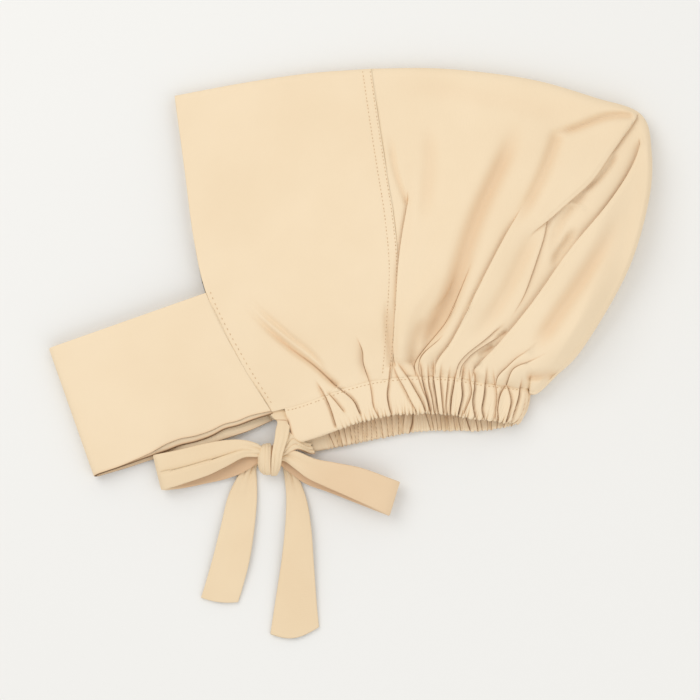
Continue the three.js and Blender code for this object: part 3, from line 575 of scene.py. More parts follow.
# %% What the folds do to a place
def lap_shape(off, roll, spread, low, dark):
    """Four shares at a distance off a lap's line: rise, swell, hollow and painted shade.

    The rise is a quarter ellipse across the roll. The swell beyond it and the hollow on the low
    side are halves of bell curves. The painted shade is a dark line in a narrow bell under the
    roll, with a fainter and wider one on the low side.
    """
    up = np.sqrt(1 - (1 - np.clip(off / (roll * MM), 0, 1)) ** 2)
    swell = bell(np.maximum(off - roll * MM, 0), spread * MM)
    hollow = bell(np.minimum(off, 0), low * MM)
    below = bell(np.minimum(off + 0.1 * MM, 0), 0.36 * MM)
    shaded = 0.2 * bell(np.minimum(off, 0), 2.4 * MM)
    lit = smoothstep(off, 0.1 * MM, 0.6 * MM)
    return up, swell, hollow, np.maximum(dark * below, shaded) * (1 - lit)


def folded(place, strength):
    """Height, shift and painted shade that all folds give to places on the cloth.

    Halfway up its roll, a lap is shifted past its own line by half a sine wave, so that the cloth
    hangs over itself. A hollow is a bell curve across its line.
    """
    height, shade_paint = np.zeros(place.shape[:-1]), np.zeros(place.shape[:-1])
    shift = np.zeros_like(place)
    for name, (high, rise, dip, over, roll, spread, low, opens, closes, dark, _) in LAPS.items():
        off, along, way = beside(place, lap_lines[name])
        off = off * high
        force = open_between(along, opens, closes) * strength
        up, swell, hollow, shade = lap_shape(off, roll, spread, low, dark)
        height += force * MM * lerp(-dip * hollow, rise * swell, up)
        lean = arch(np.clip(off / (0.6 * roll * MM), 0, 1)) * over * MM
        shift -= (force * lean * high)[..., None] * way
        # Painted shade along each lap's line.
        shade_paint = np.maximum(shade_paint, force * shade)
    for name, (depth, width, opens, closes, mark, _) in HOLLOWS.items():
        off, along, _ = beside(place, hollow_lines[name])
        force = open_between(along, opens, closes) * strength
        across = bell(off, width * MM)
        height -= force * depth * MM * across
        # Painted shade: warm across each hollow by its depth, and a dark line down the middle of a creased
        # one.
        crease = mark * bell(off, 0.7 * MM) * smoothstep(along, 0.2, 0.9)
        shade_paint = np.maximum(shade_paint, force * (0.055 * depth * across + crease))
    return height, shift, shade_paint


at_apex = folded(lap_lines["apex lap"][20], 1.0)[0]
print("height of the folds at the apex lap, mm:", np.round(1000 * at_apex, 2))

# %% [markdown]
# ## Gathers
# The elastic in the casing draws the neck up to about half of its cut length, and the cloth
# answers with small steep folds. On the near half each can be told apart in the picture, so
# each is a traced line here. They run from just above the stitched top edge of the casing
# down to its lower edge, where still finer ones crowd in between.
# %% Near gathers
GATHERS = [
    [(318, 384), (322.5, 391.3), (330, 406.8), (336, 425.8)],
    [(329.4, 394.8), (335, 401), (343, 411)],
    [(330, 381), (338.9, 388.7), (352.7, 400), (359.5, 413.7)],
    [(366, 370), (369, 379), (371.6, 394.8), (373.3, 406.8), (380, 420)],
    [(390, 369), (388.8, 381), (387, 394.8), (388.8, 406.8), (391, 414)],
    [(393.5, 366), (397.4, 375.8), (404.3, 387.9), (411.2, 401.7), (416.4, 411)],
    [(399, 365), (407.8, 377.6), (414.7, 389.6), (421.5, 401.7), (425, 411)],
    [(411, 361), (416.4, 372.4), (421.5, 387.9), (426.7, 400), (429, 411)],
    [(420.5, 366), (422.4, 381), (425.8, 394.8), (430, 411)],
    [(428, 370), (428.6, 384.4), (431.5, 396.5), (434, 412)],
    [(434, 366), (433.7, 377.6), (435.8, 393), (438.5, 412)],
    [(441, 366), (440, 377.6), (441, 391.3), (443, 413)],
    [(449, 371), (447.4, 384.4), (445.8, 401.7), (446, 414)],
    [(456, 371), (454, 386), (452, 398), (450.5, 414)],
    [(463, 369), (461.5, 382.7), (462, 396.5), (458, 414)],
    [(469.5, 372), (470.6, 382.7), (471.5, 394.8), (464, 414)],
    [(475, 370), (474.5, 386), (472.5, 401.7), (475, 417)],
    [(486, 374), (484, 394.8), (481.8, 408.5), (484, 419)],
    [(494, 374), (495.6, 384.4), (497.3, 396.5), (495.6, 419)],
    [(506.8, 384), (500.8, 394.8), (498.2, 408.5), (499, 420)],
    [(506.8, 384), (511, 398.2), (510, 408.5), (506, 422)],
    [(520.5, 384), (519, 396), (516, 407), (511, 422)],
]
GATHER_HEIGHT = 0.017


def led_up(line, pixels):
    """The line with one more point before its first, so many pixels back the way it came."""
    line = np.asarray(line, float)
    back = line[0] - line[1]
    return np.vstack([line[0] + pixels * back / np.linalg.norm(back), line])


gather_chance = np.random.default_rng(4)
gather_depth = gather_chance.uniform(0.7, 1.2, len(GATHERS))
gather_side = np.where(gather_chance.uniform(size=len(GATHERS)) < 0.65, -1, 1)
gather_lines = [
    smooth_line(traced(led_up(line, pixels), GATHER_HEIGHT), np.linspace(0, 1, 16))
    for line, pixels in zip(GATHERS, gather_chance.uniform(4, 15, len(GATHERS)))
]
print(len(GATHERS), "gathers on the near casing")


# %% What the gathers do to a place
def gathered(place, wide):
    """Height and painted shade of the near gathers, each a small lap that opens over its line's first
    third.

    One side stands round and high, and drops in a short steep wall to a narrow hollow on the
    other. wide stretches that section, for a grid that is too coarse for the real one.
    """
    height, shade_paint = np.zeros(place.shape[:-1]), np.zeros(place.shape[:-1])
    for line, depth, high in zip(gather_lines, gather_depth, gather_side):
        off, along, _ = beside(place, line)
        off = off * high / wide
        force = depth * smoothstep(along, 0, 0.3)
        up = smoothstep(off, -0.3 * MM, 0.45 * MM)
        swell = bell(np.maximum(off - 0.4 * MM, 0), 2.0 * MM)
        hollow = bell(np.minimum(off, 0), 1.4 * MM)
        height += force * MM * lerp(-1.5 * hollow, 0.8 * swell, up)
        # Painted shade: a dark line in each gather's groove, and a faint one in its hollow.
        groove = bell(off + 0.15 * MM, 0.34 * MM)
        shade_paint = np.maximum(shade_paint, force * np.maximum(groove, 0.18 * hollow * (1 - up)))
    return height, np.clip(shade_paint, 0, 1)


print("height and tuck on a gather's line, mm and share:", gathered(gather_lines[5][8:9], 1.0))


# %% Columns that crowd together where the cloth is folded
def crowding(place):
    """How closely columns are to stand at a place: six times as close beside a lap's line.

    A creased hollow counts for two, and a gather for two and a half.
    """
    dense = np.ones(place.shape[:-1])
    for name, (high, *_, opens, closes, _, _) in LAPS.items():
        off, along, _ = beside(place, lap_lines[name])
        force = open_between(along, max(opens, 0.15), max(closes, 0.15))
        dense += 5 * force * bell(off * high - 1.2 * MM, 3.5 * MM)
    for name, (_, _, opens, closes, mark, _) in HOLLOWS.items():
        if mark:
            off, along, _ = beside(place, hollow_lines[name])
            dense += 2 * open_between(along, opens, closes) * bell(off, 3 * MM)
    for line in gather_lines:
        dense += 2.5 * bell(beside(place, line)[0], 2.0 * MM)
    return dense


def crowded_columns(wall, rows, count, tries=300, times=40):
    """For each row w, count values of u whose steps are short where crowding is high.

    Each row is then evened out with its neighbours, many times, so that columns have no jumps.
    """
    u = np.linspace(0, 1, tries)
    near = rows[rows >= 0]
    tried, _, _ = wall(*np.broadcast_arrays(u[:, None], near[None]))
    filled = np.cumsum(crowding(tried[..., :2]), axis=0)
    filled = (filled - filled[0]) / (filled[-1] - filled[0])
    wanted = np.linspace(0, 1, count)
    columns = evened(np.stack([np.interp(wanted, filled[:, k], u) for k in range(len(near))]), times).T
    return np.concatenate([np.repeat(columns[:, :1], len(rows) - len(near), axis=1), columns], axis=1)


print("columns stand", np.round(crowding(lap_lines["middle lap"][18:19]), 1), "times as close on a lap")


# %% Uneven ripples
def ripples(run, pitch, seed, steps=400):
    """Ridges along a run, 0 in the narrow grooves and 1 on the round tops, unevenly spaced.

    The phase is the sum of steps that vary at random about one ridge per pitch.
    """
    chance = np.random.default_rng(seed)
    knots = np.cumsum(chance.uniform(0.6, 1.5, steps)) * pitch
    phase = np.interp(run, knots - knots[0] - 5 * pitch, np.arange(steps))
    height = np.interp(np.floor(phase), np.arange(steps), chance.uniform(0.55, 1.0, steps))
    return np.abs(arch(phase)) ** 0.75 * height


print("ripples 3 mm apart:", np.round(ripples(np.linspace(0, 6 * MM, 7), 3 * MM, 5), 2))

# %% [markdown]
# ## The pouch
# The pouch's near side carries all the folds, so its columns crowd together beside each lap: a
# roll only 3 mm wide still gets a dozen of them. The far side, on the table, needs few.
# %% Small shapes of laid cloth
def hem_dip(from_hem):
    """How far the cloth dips into the stitches at its hem: 0.15 mm in a bell 0.9 mm wide."""
    return -0.15 * MM * bell(from_hem, 0.9 * MM)


def lowest_near(height, reach):
    """Each value's lowest neighbour within reach rows and columns, taken first down and then across."""
    for axis in (0, 1):
        padded = np.pad(height, [(reach, reach) if k == axis else (0, 0) for k in (0, 1)], mode="edge")
        count = height.shape[axis]
        shifts = [np.take(padded, np.arange(k, k + count), axis) for k in range(2 * reach + 1)]
        height = np.min(shifts, axis=0)
    return height


def wavy(place, height, length, seed):
    """Slow unevenness of laid cloth: a few crossed sine waves of random ways and phases."""
    chance = np.random.default_rng(seed)
    total = np.zeros(place.shape[:-1])
    for _ in range(7):
        way = chance.uniform(0, 2 * math.pi)
        step = 2 * math.pi / (length * chance.uniform(0.6, 1.6))
        run = place[..., 0] * math.cos(way) + place[..., 1] * math.sin(way)
        total += np.sin(step * run + chance.uniform(0, 6))
    return height * total / 7**0.5


def sagged(place, from_hem):
    """Where the pouch's lower back corner hangs out past the casing: a bell 9 mm wide, off the hem."""
    corner, edge = traced([(542, 386), (528.5, 388)], 4 * MM)
    share = bell(np.linalg.norm(place - corner, axis=-1), 9 * MM)
    share = share * smoothstep(from_hem, 0, 6 * MM) * smoothstep(place[..., 0], edge[0], edge[0] + 3 * MM)
    return place + share[..., None] * np.array([-3.5 * MM, -8.0 * MM])


def wall_normals(grid):
    """The way out of a wall at every point of its grid: square to the two ways in which it runs."""
    return unit(np.cross(np.gradient(grid, axis=1), np.gradient(grid, axis=0)))


print("dip at a hem, mm:", hem_dip(0) / MM)

# %% A piece of the hood
# Rows from the far hem to the top fold, and on to the near hem, where they stand closer.
FAR_ROWS = np.linspace(-1, 0, 26)[:-1]
NEAR_ROWS = np.concatenate([np.linspace(0, 0.88, 200, endpoint=False), np.linspace(0.88, 1, 60)])
# Metres of knit across a piece and along it.
WEAVE_SIZE = np.array([0.2, 0.24])
SEAM_ALLOWANCE = 5.6 * MM


def near_relief(place, from_hem, strength):
    """Height, shift and painted shade of the near side: its folds, and its gathers in the last 20 mm."""
    far = len(FAR_ROWS)
    height, shade_paint, gather_height, gather_shade_paint = (np.zeros(from_hem.shape) for _ in range(4))
    shift = np.zeros(place.shape)
    height[:, far:], shift[:, far:], shade_paint[:, far:] = folded(place[:, far:], strength[:, far:])
    gather_height[:, far:], gather_shade_paint[:, far:] = gathered(place[:, far:], 1.5)
    reach = 1 - smoothstep(from_hem, 5 * MM, 20 * MM)
    return height + 0.85 * gather_height * reach, shift, np.maximum(shade_paint, 0.8 * gather_shade_paint * reach)


def build_hood_piece(name, node, wall, count, seed, seam_fold=0.0, coarse=6):
    """A hood piece: its wall, with folds on the near side, and a coarse inner side below it."""
    rows = np.concatenate([FAR_ROWS, NEAR_ROWS])
    u = crowded_columns(wall, rows, count)
    w = np.broadcast_to(rows[None], u.shape)
    middle, _, from_hem = wall(u, w)
    middle[..., :2] = sagged(middle[..., :2], from_hem)
    plan = middle[..., :2]
    near = w > 0
    # Folds die away before the fold at the top, and the hem holds the cloth at the casing's height.
    from_fold = smoothstep(w, 0.04, 0.2)
    at_hem = smoothstep(from_hem, 0, 9 * MM)
    height, shift, shade_paint = near_relief(plan, from_hem, from_fold * lerp(0.5, 1, at_hem))
    height += hem_dip(from_hem) + wavy(plan, 0.3 * MM, 45 * MM, seed) * from_fold * at_hem
    from_seam, _, _ = beside(plan, smooth_line(crown_seam, np.linspace(0, 1, 40)))
    height += seam_fold * (1 - smoothstep(np.abs(from_seam), SEAM_ALLOWANCE, SEAM_ALLOWANCE + MM))
    outward = wall_normals(middle) * CLOTH / 2
    outer = middle + outward
    outer[..., 2] += np.where(near, height, 0)
    outer[..., :2] += np.where(near[..., None], shift * from_fold[..., None], 0)
    outer[..., 2] = np.maximum(outer[..., 2], 0)
    # The inner side stays below the lowest point of the relief round each of its own points.
    kept = np.ix_(thinned(u.shape[0], coarse), thinned(u.shape[1], coarse))
    margin = 0.3 * MM + 0.8 * MM * from_fold * at_hem
    below = np.where(near, np.minimum(lowest_near(height, coarse + 4), 0) - margin, 0)
    inner = (middle - outward)[kept]
    inner[..., 2] = np.maximum(inner[..., 2] + below[kept], 0.15 * MM)
    points, faces = closed_wall(outer, inner, kept[0][:, 0], kept[1][0])
    hidden = inner.shape[0] * inner.shape[1]
    # Painted shade on the near side only, at 0.8 of the folds' own.
    painted_shade = np.append(np.where(near, np.clip(shade_paint, 0, 1), 0) * 0.8, np.zeros(hidden))
    weave = np.append((np.stack([u, w], -1) * WEAVE_SIZE).reshape(-1, 2), np.zeros((hidden, 2)), axis=0)
    return new_piece(name, points, faces, JERSEY, [node], painted_shade, weave), outer


print(len(FAR_ROWS), "far rows and", len(NEAR_ROWS), "near rows")

# %% Pouch
pouch, pouch_grid = build_hood_piece("pouch_jersey", "pouch", pouch_wall, 300, 11)
print("pouch stands", round(1000 * pouch_grid[..., 2].max(), 1), "mm high")

# %% [markdown]
# ## The front panel
# The front panel lies flat and smooth over the forehead. Along the crown seam its turned-in edge
# makes it a little thicker, held by a row of topstitching.
# %% Front panel
panel, panel_grid = build_hood_piece("front_panel_jersey", "front_panel", panel_wall, 220, 12, 0.35 * MM)
print("front panel stands", round(1000 * panel_grid[..., 2].max(), 1), "mm high")

# %% [markdown]
# ## The neck casing
# A tunnel of cloth, 25 mm deep, with the elastic and the ties inside. Its section is a flat tube,
# carried along the near hem, round the back of the neck and along the far hem. Down its length
# the gathers are pinched at the stitched top, and draw the lower edge into small scallops.
# %% Casing path
CASING_DEPTH = 25 * MM
CASING_WALL = 3 * MM
# Where along the hems the casing's plain ends are, as shares.
NEAR_START, FAR_START = 0.065, 0.15
# Ripples: how far apart, and the seed of their unevenness.
FINE, SMALL, COARSE = (3.0 * MM, 5), (1.9 * MM, 9), (4.3 * MM, 8)


def casing_top(line, t, lift):
    """Places on the hem and the way down from them: square to it, leaning forward at the back.

    Where the hem's rows have a third number, it's the share of lift at which the hem stands.
    """
    at = smooth_line(line, t)
    step = 1e-4
    run = smooth_line(line, np.clip(t + step, 0, 1)) - smooth_line(line, np.clip(t - step, 0, 1))
    x, y = unit(run[:, :2]).T
    lean = -math.radians(12) * smoothstep(t, 0.7, 1)
    down = np.stack([x * np.sin(lean) + y * np.cos(lean), -(x * np.cos(lean) - y * np.sin(lean))], 1)
    height = at[:, 2] * lift if at.shape[1] > 2 else np.full(len(t), lift)
    return np.column_stack([at[:, :2], height]), down


near_t = np.linspace(NEAR_START, 1, 600)
far_t = np.linspace(1, FAR_START, 480)
turns = np.linspace(0, math.pi, 26)[1:-1]
near_top, near_down = casing_top(near_hem, near_t, HEM_LIFT)
far_top, far_down = casing_top(far_hem, far_t, FAR_LIFT)
half_turn = ((1 - np.cos(turns)) / 2)[:, None]
turn_top = lerp(near_top[-1], far_top[0], half_turn)
turn_top[:, 0] += HEM_TURN * np.sin(turns)
casing_tops = np.vstack([near_top, turn_top, far_top])
casing_downs = np.vstack([near_down, lerp(near_down[-1], far_down[0], half_turn), far_down])
casing_turn = np.concatenate([np.zeros(len(near_t)), turns, np.full(len(far_t), math.pi)])
casing_run = run_along(casing_tops)
casing_far = smoothstep(casing_turn, 0.3, 1.4)[:, None]
print("casing is", round(1000 * casing_run[-1]), "mm round")


# %% The casing's section and its middle
def tube_section(across):
    """Half the outline of a flat tube: shares of its depth, down one side, and of its thickness.

    It swells from 0.35 at the stitches, and closes at the lower edge in a quarter ellipse.
    """
    down = np.linspace(0, 1, across)
    edge = np.clip((down - 0.93) / 0.07, 0, 1)
    return down, np.minimum(1, 0.35 + 6 * down) * np.sqrt(1 - edge**2 * 0.96)


def casing_middle(run, depth, fine, near, far):
    """The middle of the tube's wall: down from the hem, cut to scallops, curved at the back."""
    scallop = (fine - 0.5) * 2.2 * MM * lerp(near, 0.6 * far, casing_far) * smoothstep(depth, 0.75, 1)
    corner = 1 - 0.16 * (1 - smoothstep(run, 0, 7 * MM)) ** 2
    reach = depth * CASING_DEPTH * corner - 0.5 * MM + scallop
    down = casing_downs[:, None] * reach[..., None]
    middle = casing_tops[:, None] + np.concatenate([down, np.zeros(reach.shape + (1,))], -1)
    back = bell(casing_run - casing_run[len(near_t) + 12], 10 * MM)[:, None]
    middle[..., 0] += MM * back * (1.6 * arch(depth) - 3.6 * depth**3)
    return middle


print("thickness down the section:", np.round(tube_section(6)[1], 2))


# %% The casing's shape
def casing_shape():
    """The tube, the painted shade in its grooves and folds, and its cloth's run.

    Its section's depth runs down from the hem, its side along the wall's own way out. The near
    half has the traced gathers with ripples at the lower edge, the far half has ripples only. In
    both they are pinched to half their height at the stitches, and die out at the plain ends.
    """
    down, side = tube_section(26)
    depth = np.concatenate([down, down[::-1]])[None]
    sides = np.concatenate([side, -side[::-1]])[None]
    out = np.stack([np.sin(casing_turn), 0 * casing_turn, np.cos(casing_turn)], -1)
    run = casing_run[:, None] + 0 * depth
    slant = MM * (3.0 * np.sin(run / (17 * MM) + 1.1) + 1.4 * np.sin(run / (5.3 * MM))) * depth
    bunching = 1 + 0.3 * np.sin(run / (23 * MM) + 0.8) + 0.15 * np.sin(run / (9 * MM))
    fine = ripples(run + 0.3 * slant, *FINE)
    small = ripples(run - 0.4 * slant, *SMALL)
    coarse = ripples(run + 2 * slant + 12 * MM * bunching, *COARSE)
    near = smoothstep(casing_run, 24 * MM, 40 * MM)[:, None]
    far = smoothstep(casing_run[-1] - casing_run, 6 * MM, 14 * MM)[:, None]
    middle = casing_middle(run, depth, fine, near, far)
    lower = smoothstep(depth, 0.66, 1.0)
    pinched = lerp(0.5, 1, smoothstep(depth, 0.02, 0.25))
    traced_height, shade_paint = gathered(middle[..., :2], 1.0)
    near_wave = traced_height * pinched + (fine - 0.6) * 1.5 * MM * lower * near
    near_wave += (small - 0.6) * 0.5 * MM * near * smoothstep(depth, 0.25, 0.8)
    far_wave = ((coarse - 0.6) * 2.3 + (small - 0.6) * 0.8) * MM * pinched * far
    relief = lerp(near_wave, far_wave, casing_far) * np.where((sides > 0) | (casing_far > 0.5), 1, 0.4)
    place = middle + out[:, None] * (sides * CASING_WALL / 2 + relief)[..., None]
    place[..., 2] = np.maximum(place[..., 2], 0.05 * MM)
    # Painted shade: dark lines in the far half's pleat grooves and a warm shade at its top, under the near
    # half; dark lines in the near half's gathers and scallops; and a dark line down the casing's near plain
    # end.
    groove_shade = [np.clip((0.34 - coarse) * 4, 0, 1), 0.4 * np.clip((0.3 - small) * 4, 0, 1),
               0.16 * (1 - smoothstep(depth, 0.45, 0.9)) + 0 * run]
    edge_groove_shade = 0.6 * np.clip((0.32 - fine) * 3, 0, 1) * lower * near
    end_shade_line = bell(run, 1.2 * MM) * smoothstep(depth, 0.2, 0.5)
    painted_shade = np.max([np.maximum(shade_paint, edge_groove_shade) * (1 - casing_far),
                     np.max(groove_shade, axis=0) * casing_far * far, end_shade_line], axis=0)
    return place, np.clip(painted_shade, 0, 1), np.stack([run, depth * 0.025 + 0 * run], -1)


print("the near half has", len(near_t), "sections and the far half", len(far_t))


# %% Casing
casing_place, casing_shade_paint, casing_weave = casing_shape()
casing = new_piece("neck_casing_jersey", casing_place, closed_tube(casing_place), JERSEY,
                   ["neck_casing"], casing_shade_paint, casing_weave)

# %% [markdown]
# ## The chin band
# A strip folded lengthwise and looped under the chin. Its fold is the upper edge, and its two
# leaves are open along the lower one, where three edges show one above the other.
# %% The band's lines
BAND_WIDTH = 90 * MM
BAND_TILT = math.radians(19.4)
BAND_LEAF, LEAF_GAP, BAND_LOOP = 1.0 * MM, 0.4 * MM, 7.2 * MM
# The three lower edges, read off the picture, and how high in millimetres each lies: the near
# run's outer and inner leaf, and the far run.
BAND_EDGES = [
    ([(97.5, 473.5), (118.9, 466.3), (135.7, 459.4), (151, 452.5), (166.3, 444.1), (180.1, 438.7),
      (195.4, 435.7), (210.7, 430.6), (224.5, 423.9), (238.3, 420.4), (252, 415), (270.4, 411)], 9),
    ([(97.5, 474.5), (126, 465), (151, 456), (166.3, 450.8), (180, 445.5), (195.4, 441.8),
      (210.7, 436.4), (224.5, 429.2), (238.3, 425.4), (253.6, 419.6), (270.4, 414.3)], 8),
    ([(97.5, 476), (126.5, 467.5), (154, 458.5), (177, 452.5), (203, 445.6), (226, 438), (249, 430.3),
      (273.5, 419.5)], 1),
]
BAND_HALF = 2 * BAND_LEAF + LEAF_GAP
band_along = np.array([math.cos(BAND_TILT), math.sin(BAND_TILT)])
band_down = np.array([math.sin(BAND_TILT), -math.cos(BAND_TILT)])
band_lower_end = panel_wall(np.zeros(1), np.ones(1))[0][0, :2]


def up_and_along(plan):
    """Places on the table as heights over the band's lower end and places along the band."""
    off = plan - band_lower_end
    return -off @ band_down, off @ band_along


def face_seam(side):
    """The hood's face edge on one side: how far up the band, along it and over the table it runs."""
    place = panel_wall(np.zeros(200), side * np.linspace(1, 0, 200))[0]
    up, along = up_and_along(place[:, :2])
    kept = np.append(True, np.diff(np.maximum.accumulate(up)) > 1e-7)
    return up[kept], along[kept], place[kept, 2]


def edge_height(edge, height, at):
    """How far up the band a traced lower edge lies at a place along it."""
    up, along = up_and_along(smooth_line(traced(edge, height), np.linspace(0, 1, 60)))
    return np.interp(at, along, up)


print("the near face edge runs", round(1000 * face_seam(1)[0][-1]), "mm up from the band's lower end")


# %% The band's section
def band_section(count=34):
    """Hairpin outline of two leaves, from the outer leaf's lower edge: width share, side, leaf.

    Rows stand close together at the lower edge, where the leaves' cut edges show.
    """
    half, slit = BAND_HALF / 2, LEAF_GAP / 2
    turn = half / BAND_WIDTH
    down = 1 - (1 - turn) * np.linspace(0, 1, count) ** 1.6
    level = 0 * down
    bend = np.linspace(0, math.pi, 9)[1:-1]
    tip = 1.0 + 0.3 * MM / BAND_WIDTH
    rows = [
        np.stack([down, level + half, level], 1),
        np.stack([turn * (1 - np.sin(bend)), half * np.cos(bend), 0 * bend], 1),
        np.stack([down[::-1], level - half, level + 1], 1),
        np.array([[tip, -half + BAND_LEAF / 2, 1]]),
        np.stack([down, level - slit, level + 1], 1),
        np.array([[2.2 * turn, 0, 0]]),
        np.stack([down[::-1], level + slit, level], 1),
        np.array([[tip, half - BAND_LEAF / 2, 0]]),
    ]
    return np.vstack(rows)


print("the section has", len(band_section()), "points")

# %% Chin band
BAND_REACH = 111 * MM
SEAM_GAP = 0.06 * MM
# The near run droops at its lower edge, and the far run rises towards it beside the hood.
NEAR_DROOP, FAR_RISE = 2.9, 2.8


def band_ring(seam, run, turn, loop_along):
    """One section of the band, at a share run from its seam to the loop, turned about the loop.

    Each leaf's lower edge is drawn to its traced line, with the fourth power of the width share,
    so that only the part beside the edge moves.
    """
    down, side, leaf = band_section().T
    half = BAND_HALF / 2
    near = turn < math.pi
    seam_up, seam_along, seam_height = seam
    at = lerp(seam_along[0], loop_along, run)
    outer, inner, far = (edge_height(edge, height * MM, at) for edge, height in BAND_EDGES)
    drawn = lerp(lerp(outer, inner, leaf), far, (1 - math.cos(turn)) / 2)
    up = BAND_WIDTH * (1 - down) + drawn * down**4
    reach = side + BAND_LOOP / 2
    seam_at = np.interp(up, seam_up, seam_along) - SEAM_GAP
    along = lerp(seam_at, loop_along, run) - reach * math.sin(turn)
    if turn > 0 and near:
        height = half + BAND_LOOP / 2 + reach * math.cos(turn)
    elif near:
        start = np.interp(up, seam_up, seam_height)
        height = lerp(start, half + BAND_LOOP, smoothstep(run, 0, 1)) + side
    else:
        height = half - side
    lift = -NEAR_DROOP * math.cos(turn / 2) if near else FAR_RISE * (1 - smoothstep(run, 0.45, 0.66))
    height = height + MM * lift * math.sin(math.pi * run) ** 0.8 * down**3
    plan = band_lower_end - up[:, None] * band_down + along[:, None] * band_along
    return np.column_stack([plan, height])


near_seam, far_seam = face_seam(1), face_seam(-1)
band_loop_at = np.interp(BAND_WIDTH, near_seam[0], near_seam[1]) - BAND_REACH + BAND_LOOP / 2
stations = [(near_seam, run, 0.0) for run in np.linspace(0, 1, 130)]
stations += [(near_seam, 1.0, turn) for turn in np.linspace(0, math.pi, 22)[1:-1]]
stations += [(far_seam, run, math.pi) for run in np.linspace(1, 0, 80)]
band_rings = np.array([band_ring(*station, band_loop_at) for station in stations])
top_leaf = smoothstep(band_rings[..., 2], 6 * MM, 8 * MM)
band_rings[..., 2] += wavy(band_rings[..., :2], 0.25 * MM, 50 * MM, 21) * top_leaf
band_rings[..., 2] = np.maximum(band_rings[..., 2], 0.02 * MM)
band_weave = np.stack(np.meshgrid(np.linspace(0, 0.3, band_rings.shape[0]),
                                  np.linspace(0, 0.36, band_rings.shape[1]), indexing="ij"), -1)
# The leaves' lower edges get painted shade, because each looks into the slit behind the next.
band_down_share, band_side, _ = band_section().T
at_edge = smoothstep(band_down_share, 1 - 1.6 * MM / BAND_WIDTH, 1)
inside = np.abs(band_side) < BAND_HALF / 2 - 0.01 * MM
band_shade_paint = np.broadcast_to(0.25 * at_edge + 0.75 * at_edge * inside, band_rings.shape[:2])
band = new_piece("chin_band_jersey", band_rings, closed_tube(band_rings), JERSEY,
                 ["chin_band"], band_shade_paint, band_weave)

# %% [markdown]
# ## Stitches
# Every seam of the cap shows thread: a row beside the band's seam, two rows that hold the crown
# seam's allowance down, and one along the casing's top. A stitch is a short piece of thread that
# comes out of the cloth, lies on it and goes in again, so it is a small bent spindle whose ends
# are sunk. Spun polyester thread is hard and fine, about a third of a millimetre thick. It is
# drawn half a millimetre thick, so that it shows from here as it does in the picture.
# %% Sewing thread
def sewing_thread():
    """Spun thread, drawn a little darker than the cloth as painted shade of the sunk stitches, with a fine
    twist in tone and a soft gloss.
    """
    material, thread = new_material("polyester sewing thread, spun", {"Roughness": 0.55, "IOR": 1.5})
    place = add_node(material, "TexCoord")
    # The real twist repeats every 0.8 mm, and the noise is about as fine.
    twist = add_node(material, "TexNoise", {"Scale": 1200.0}, {"Vector": place.outputs["Object"]})
    tone = add_node(material, "ValToRGB", None, {"Fac": twist.outputs["Fac"]})
    # Both tones are darker than the cloth: painted shade of the stitches sinking into it.
    dark, light = tone.color_ramp.elements
    dark.position, dark.color = 0.3, linear("#bd9a72")
    light.position, light.color = 0.7, linear("#d9b98f")
    material.node_tree.links.new(tone.outputs["Color"], thread.inputs["Base Color"])
    return material


THREAD = sewing_thread()
THREAD_RADIUS = 0.24 * MM
print("thread is", 2 * THREAD_RADIUS / MM, "mm thick")


# %% A row of stitches
def height_on(cloth, plan):
    """The height of the nearest point of a cloth's grid at places on the table."""
    cloth = cloth.reshape(-1, 3)
    return np.array([cloth[np.argmin(((cloth[:, :2] - at) ** 2).sum(1)), 2] for at in plan])


def stitches(name, plan, cloth, pitch, length):
    """Spindles along a line, one each pitch: six-sided, with thin ends 0.25 mm below their middle."""
    run = run_along(plan)
    starts = np.arange(pitch / 2, run[-1] - pitch / 2, pitch)
    starts += np.random.default_rng(len(starts)).uniform(-0.12, 0.12, len(starts)) * pitch
    share = np.array([-0.5, -0.3, 0, 0.3, 0.5])
    at = starts[:, None] + share[None] * length
    middle = np.stack([np.interp(at, run, plan[:, k]) for k in (0, 1)], -1)
    way = unit(middle[:, -1] - middle[:, 0])
    square = np.stack([-way[:, 1], way[:, 0]], -1)
    angle = np.linspace(0, 2 * math.pi, 6, endpoint=False)
    radius = THREAD_RADIUS * np.array([0.35, 0.9, 1.0, 0.9, 0.35])[:, None]
    across = middle[:, :, None] + (radius * np.cos(angle))[None, ..., None] * square[:, None, None]
    up = radius * np.sin(angle) + (0.1 * MM - MM * share**2)[:, None]
    height = height_on(cloth, middle[:, 2])[:, None, None] + up[None]
    rings = np.concatenate([across, height[..., None]], -1)
    one, points = closed_tube(rings[0]), rings[0, ..., 0].size
    faces = [[corner + k * points for corner in face] for k in range(len(starts)) for face in one]
    return new_piece(name, rings, faces, THREAD, [])


print("the crown seam ends", round(height_on(panel_grid, crown_seam[:1, :2])[0] / MM, 1), "mm up")

# %% Rows of stitches
# The near hem is at w = 1 and the top fold at w = 0, so each row goes up its seam.
band_seam = panel_wall(np.zeros(300), np.linspace(0.985, 0.03, 300))[0][:, :2]
seam_way = unit(np.gradient(band_seam, axis=0))
beside_band = band_seam + 2.9 * MM * np.stack([seam_way[:, 1], -seam_way[:, 0]], 1)
sewn = up_and_along(band_seam)[0] < BAND_WIDTH + 2 * MM
crown_line = panel_wall(np.ones(300), np.linspace(0.99, 0.03, 300))[0][:, :2]
panel_near, casing_near = panel_grid[:, len(FAR_ROWS):], casing_place[: len(near_t), :6]
band_seam_stitches = stitches("band_seam_stitches", beside_band[sewn], panel_near, 3.8 * MM, 1.7 * MM)
crown_seam_stitches, crown_topstitches = (
    stitches(name, crown_line - [off * MM, 0], panel_near, 2.5 * MM, 1.3 * MM)
    for name, off in (("crown_seam_stitches", 1.0), ("crown_topstitches", 6.0))
)
casing_stitches = stitches("casing_stitches", casing_near[4:, 2, :2], casing_near, 2.7 * MM, 1.4 * MM)

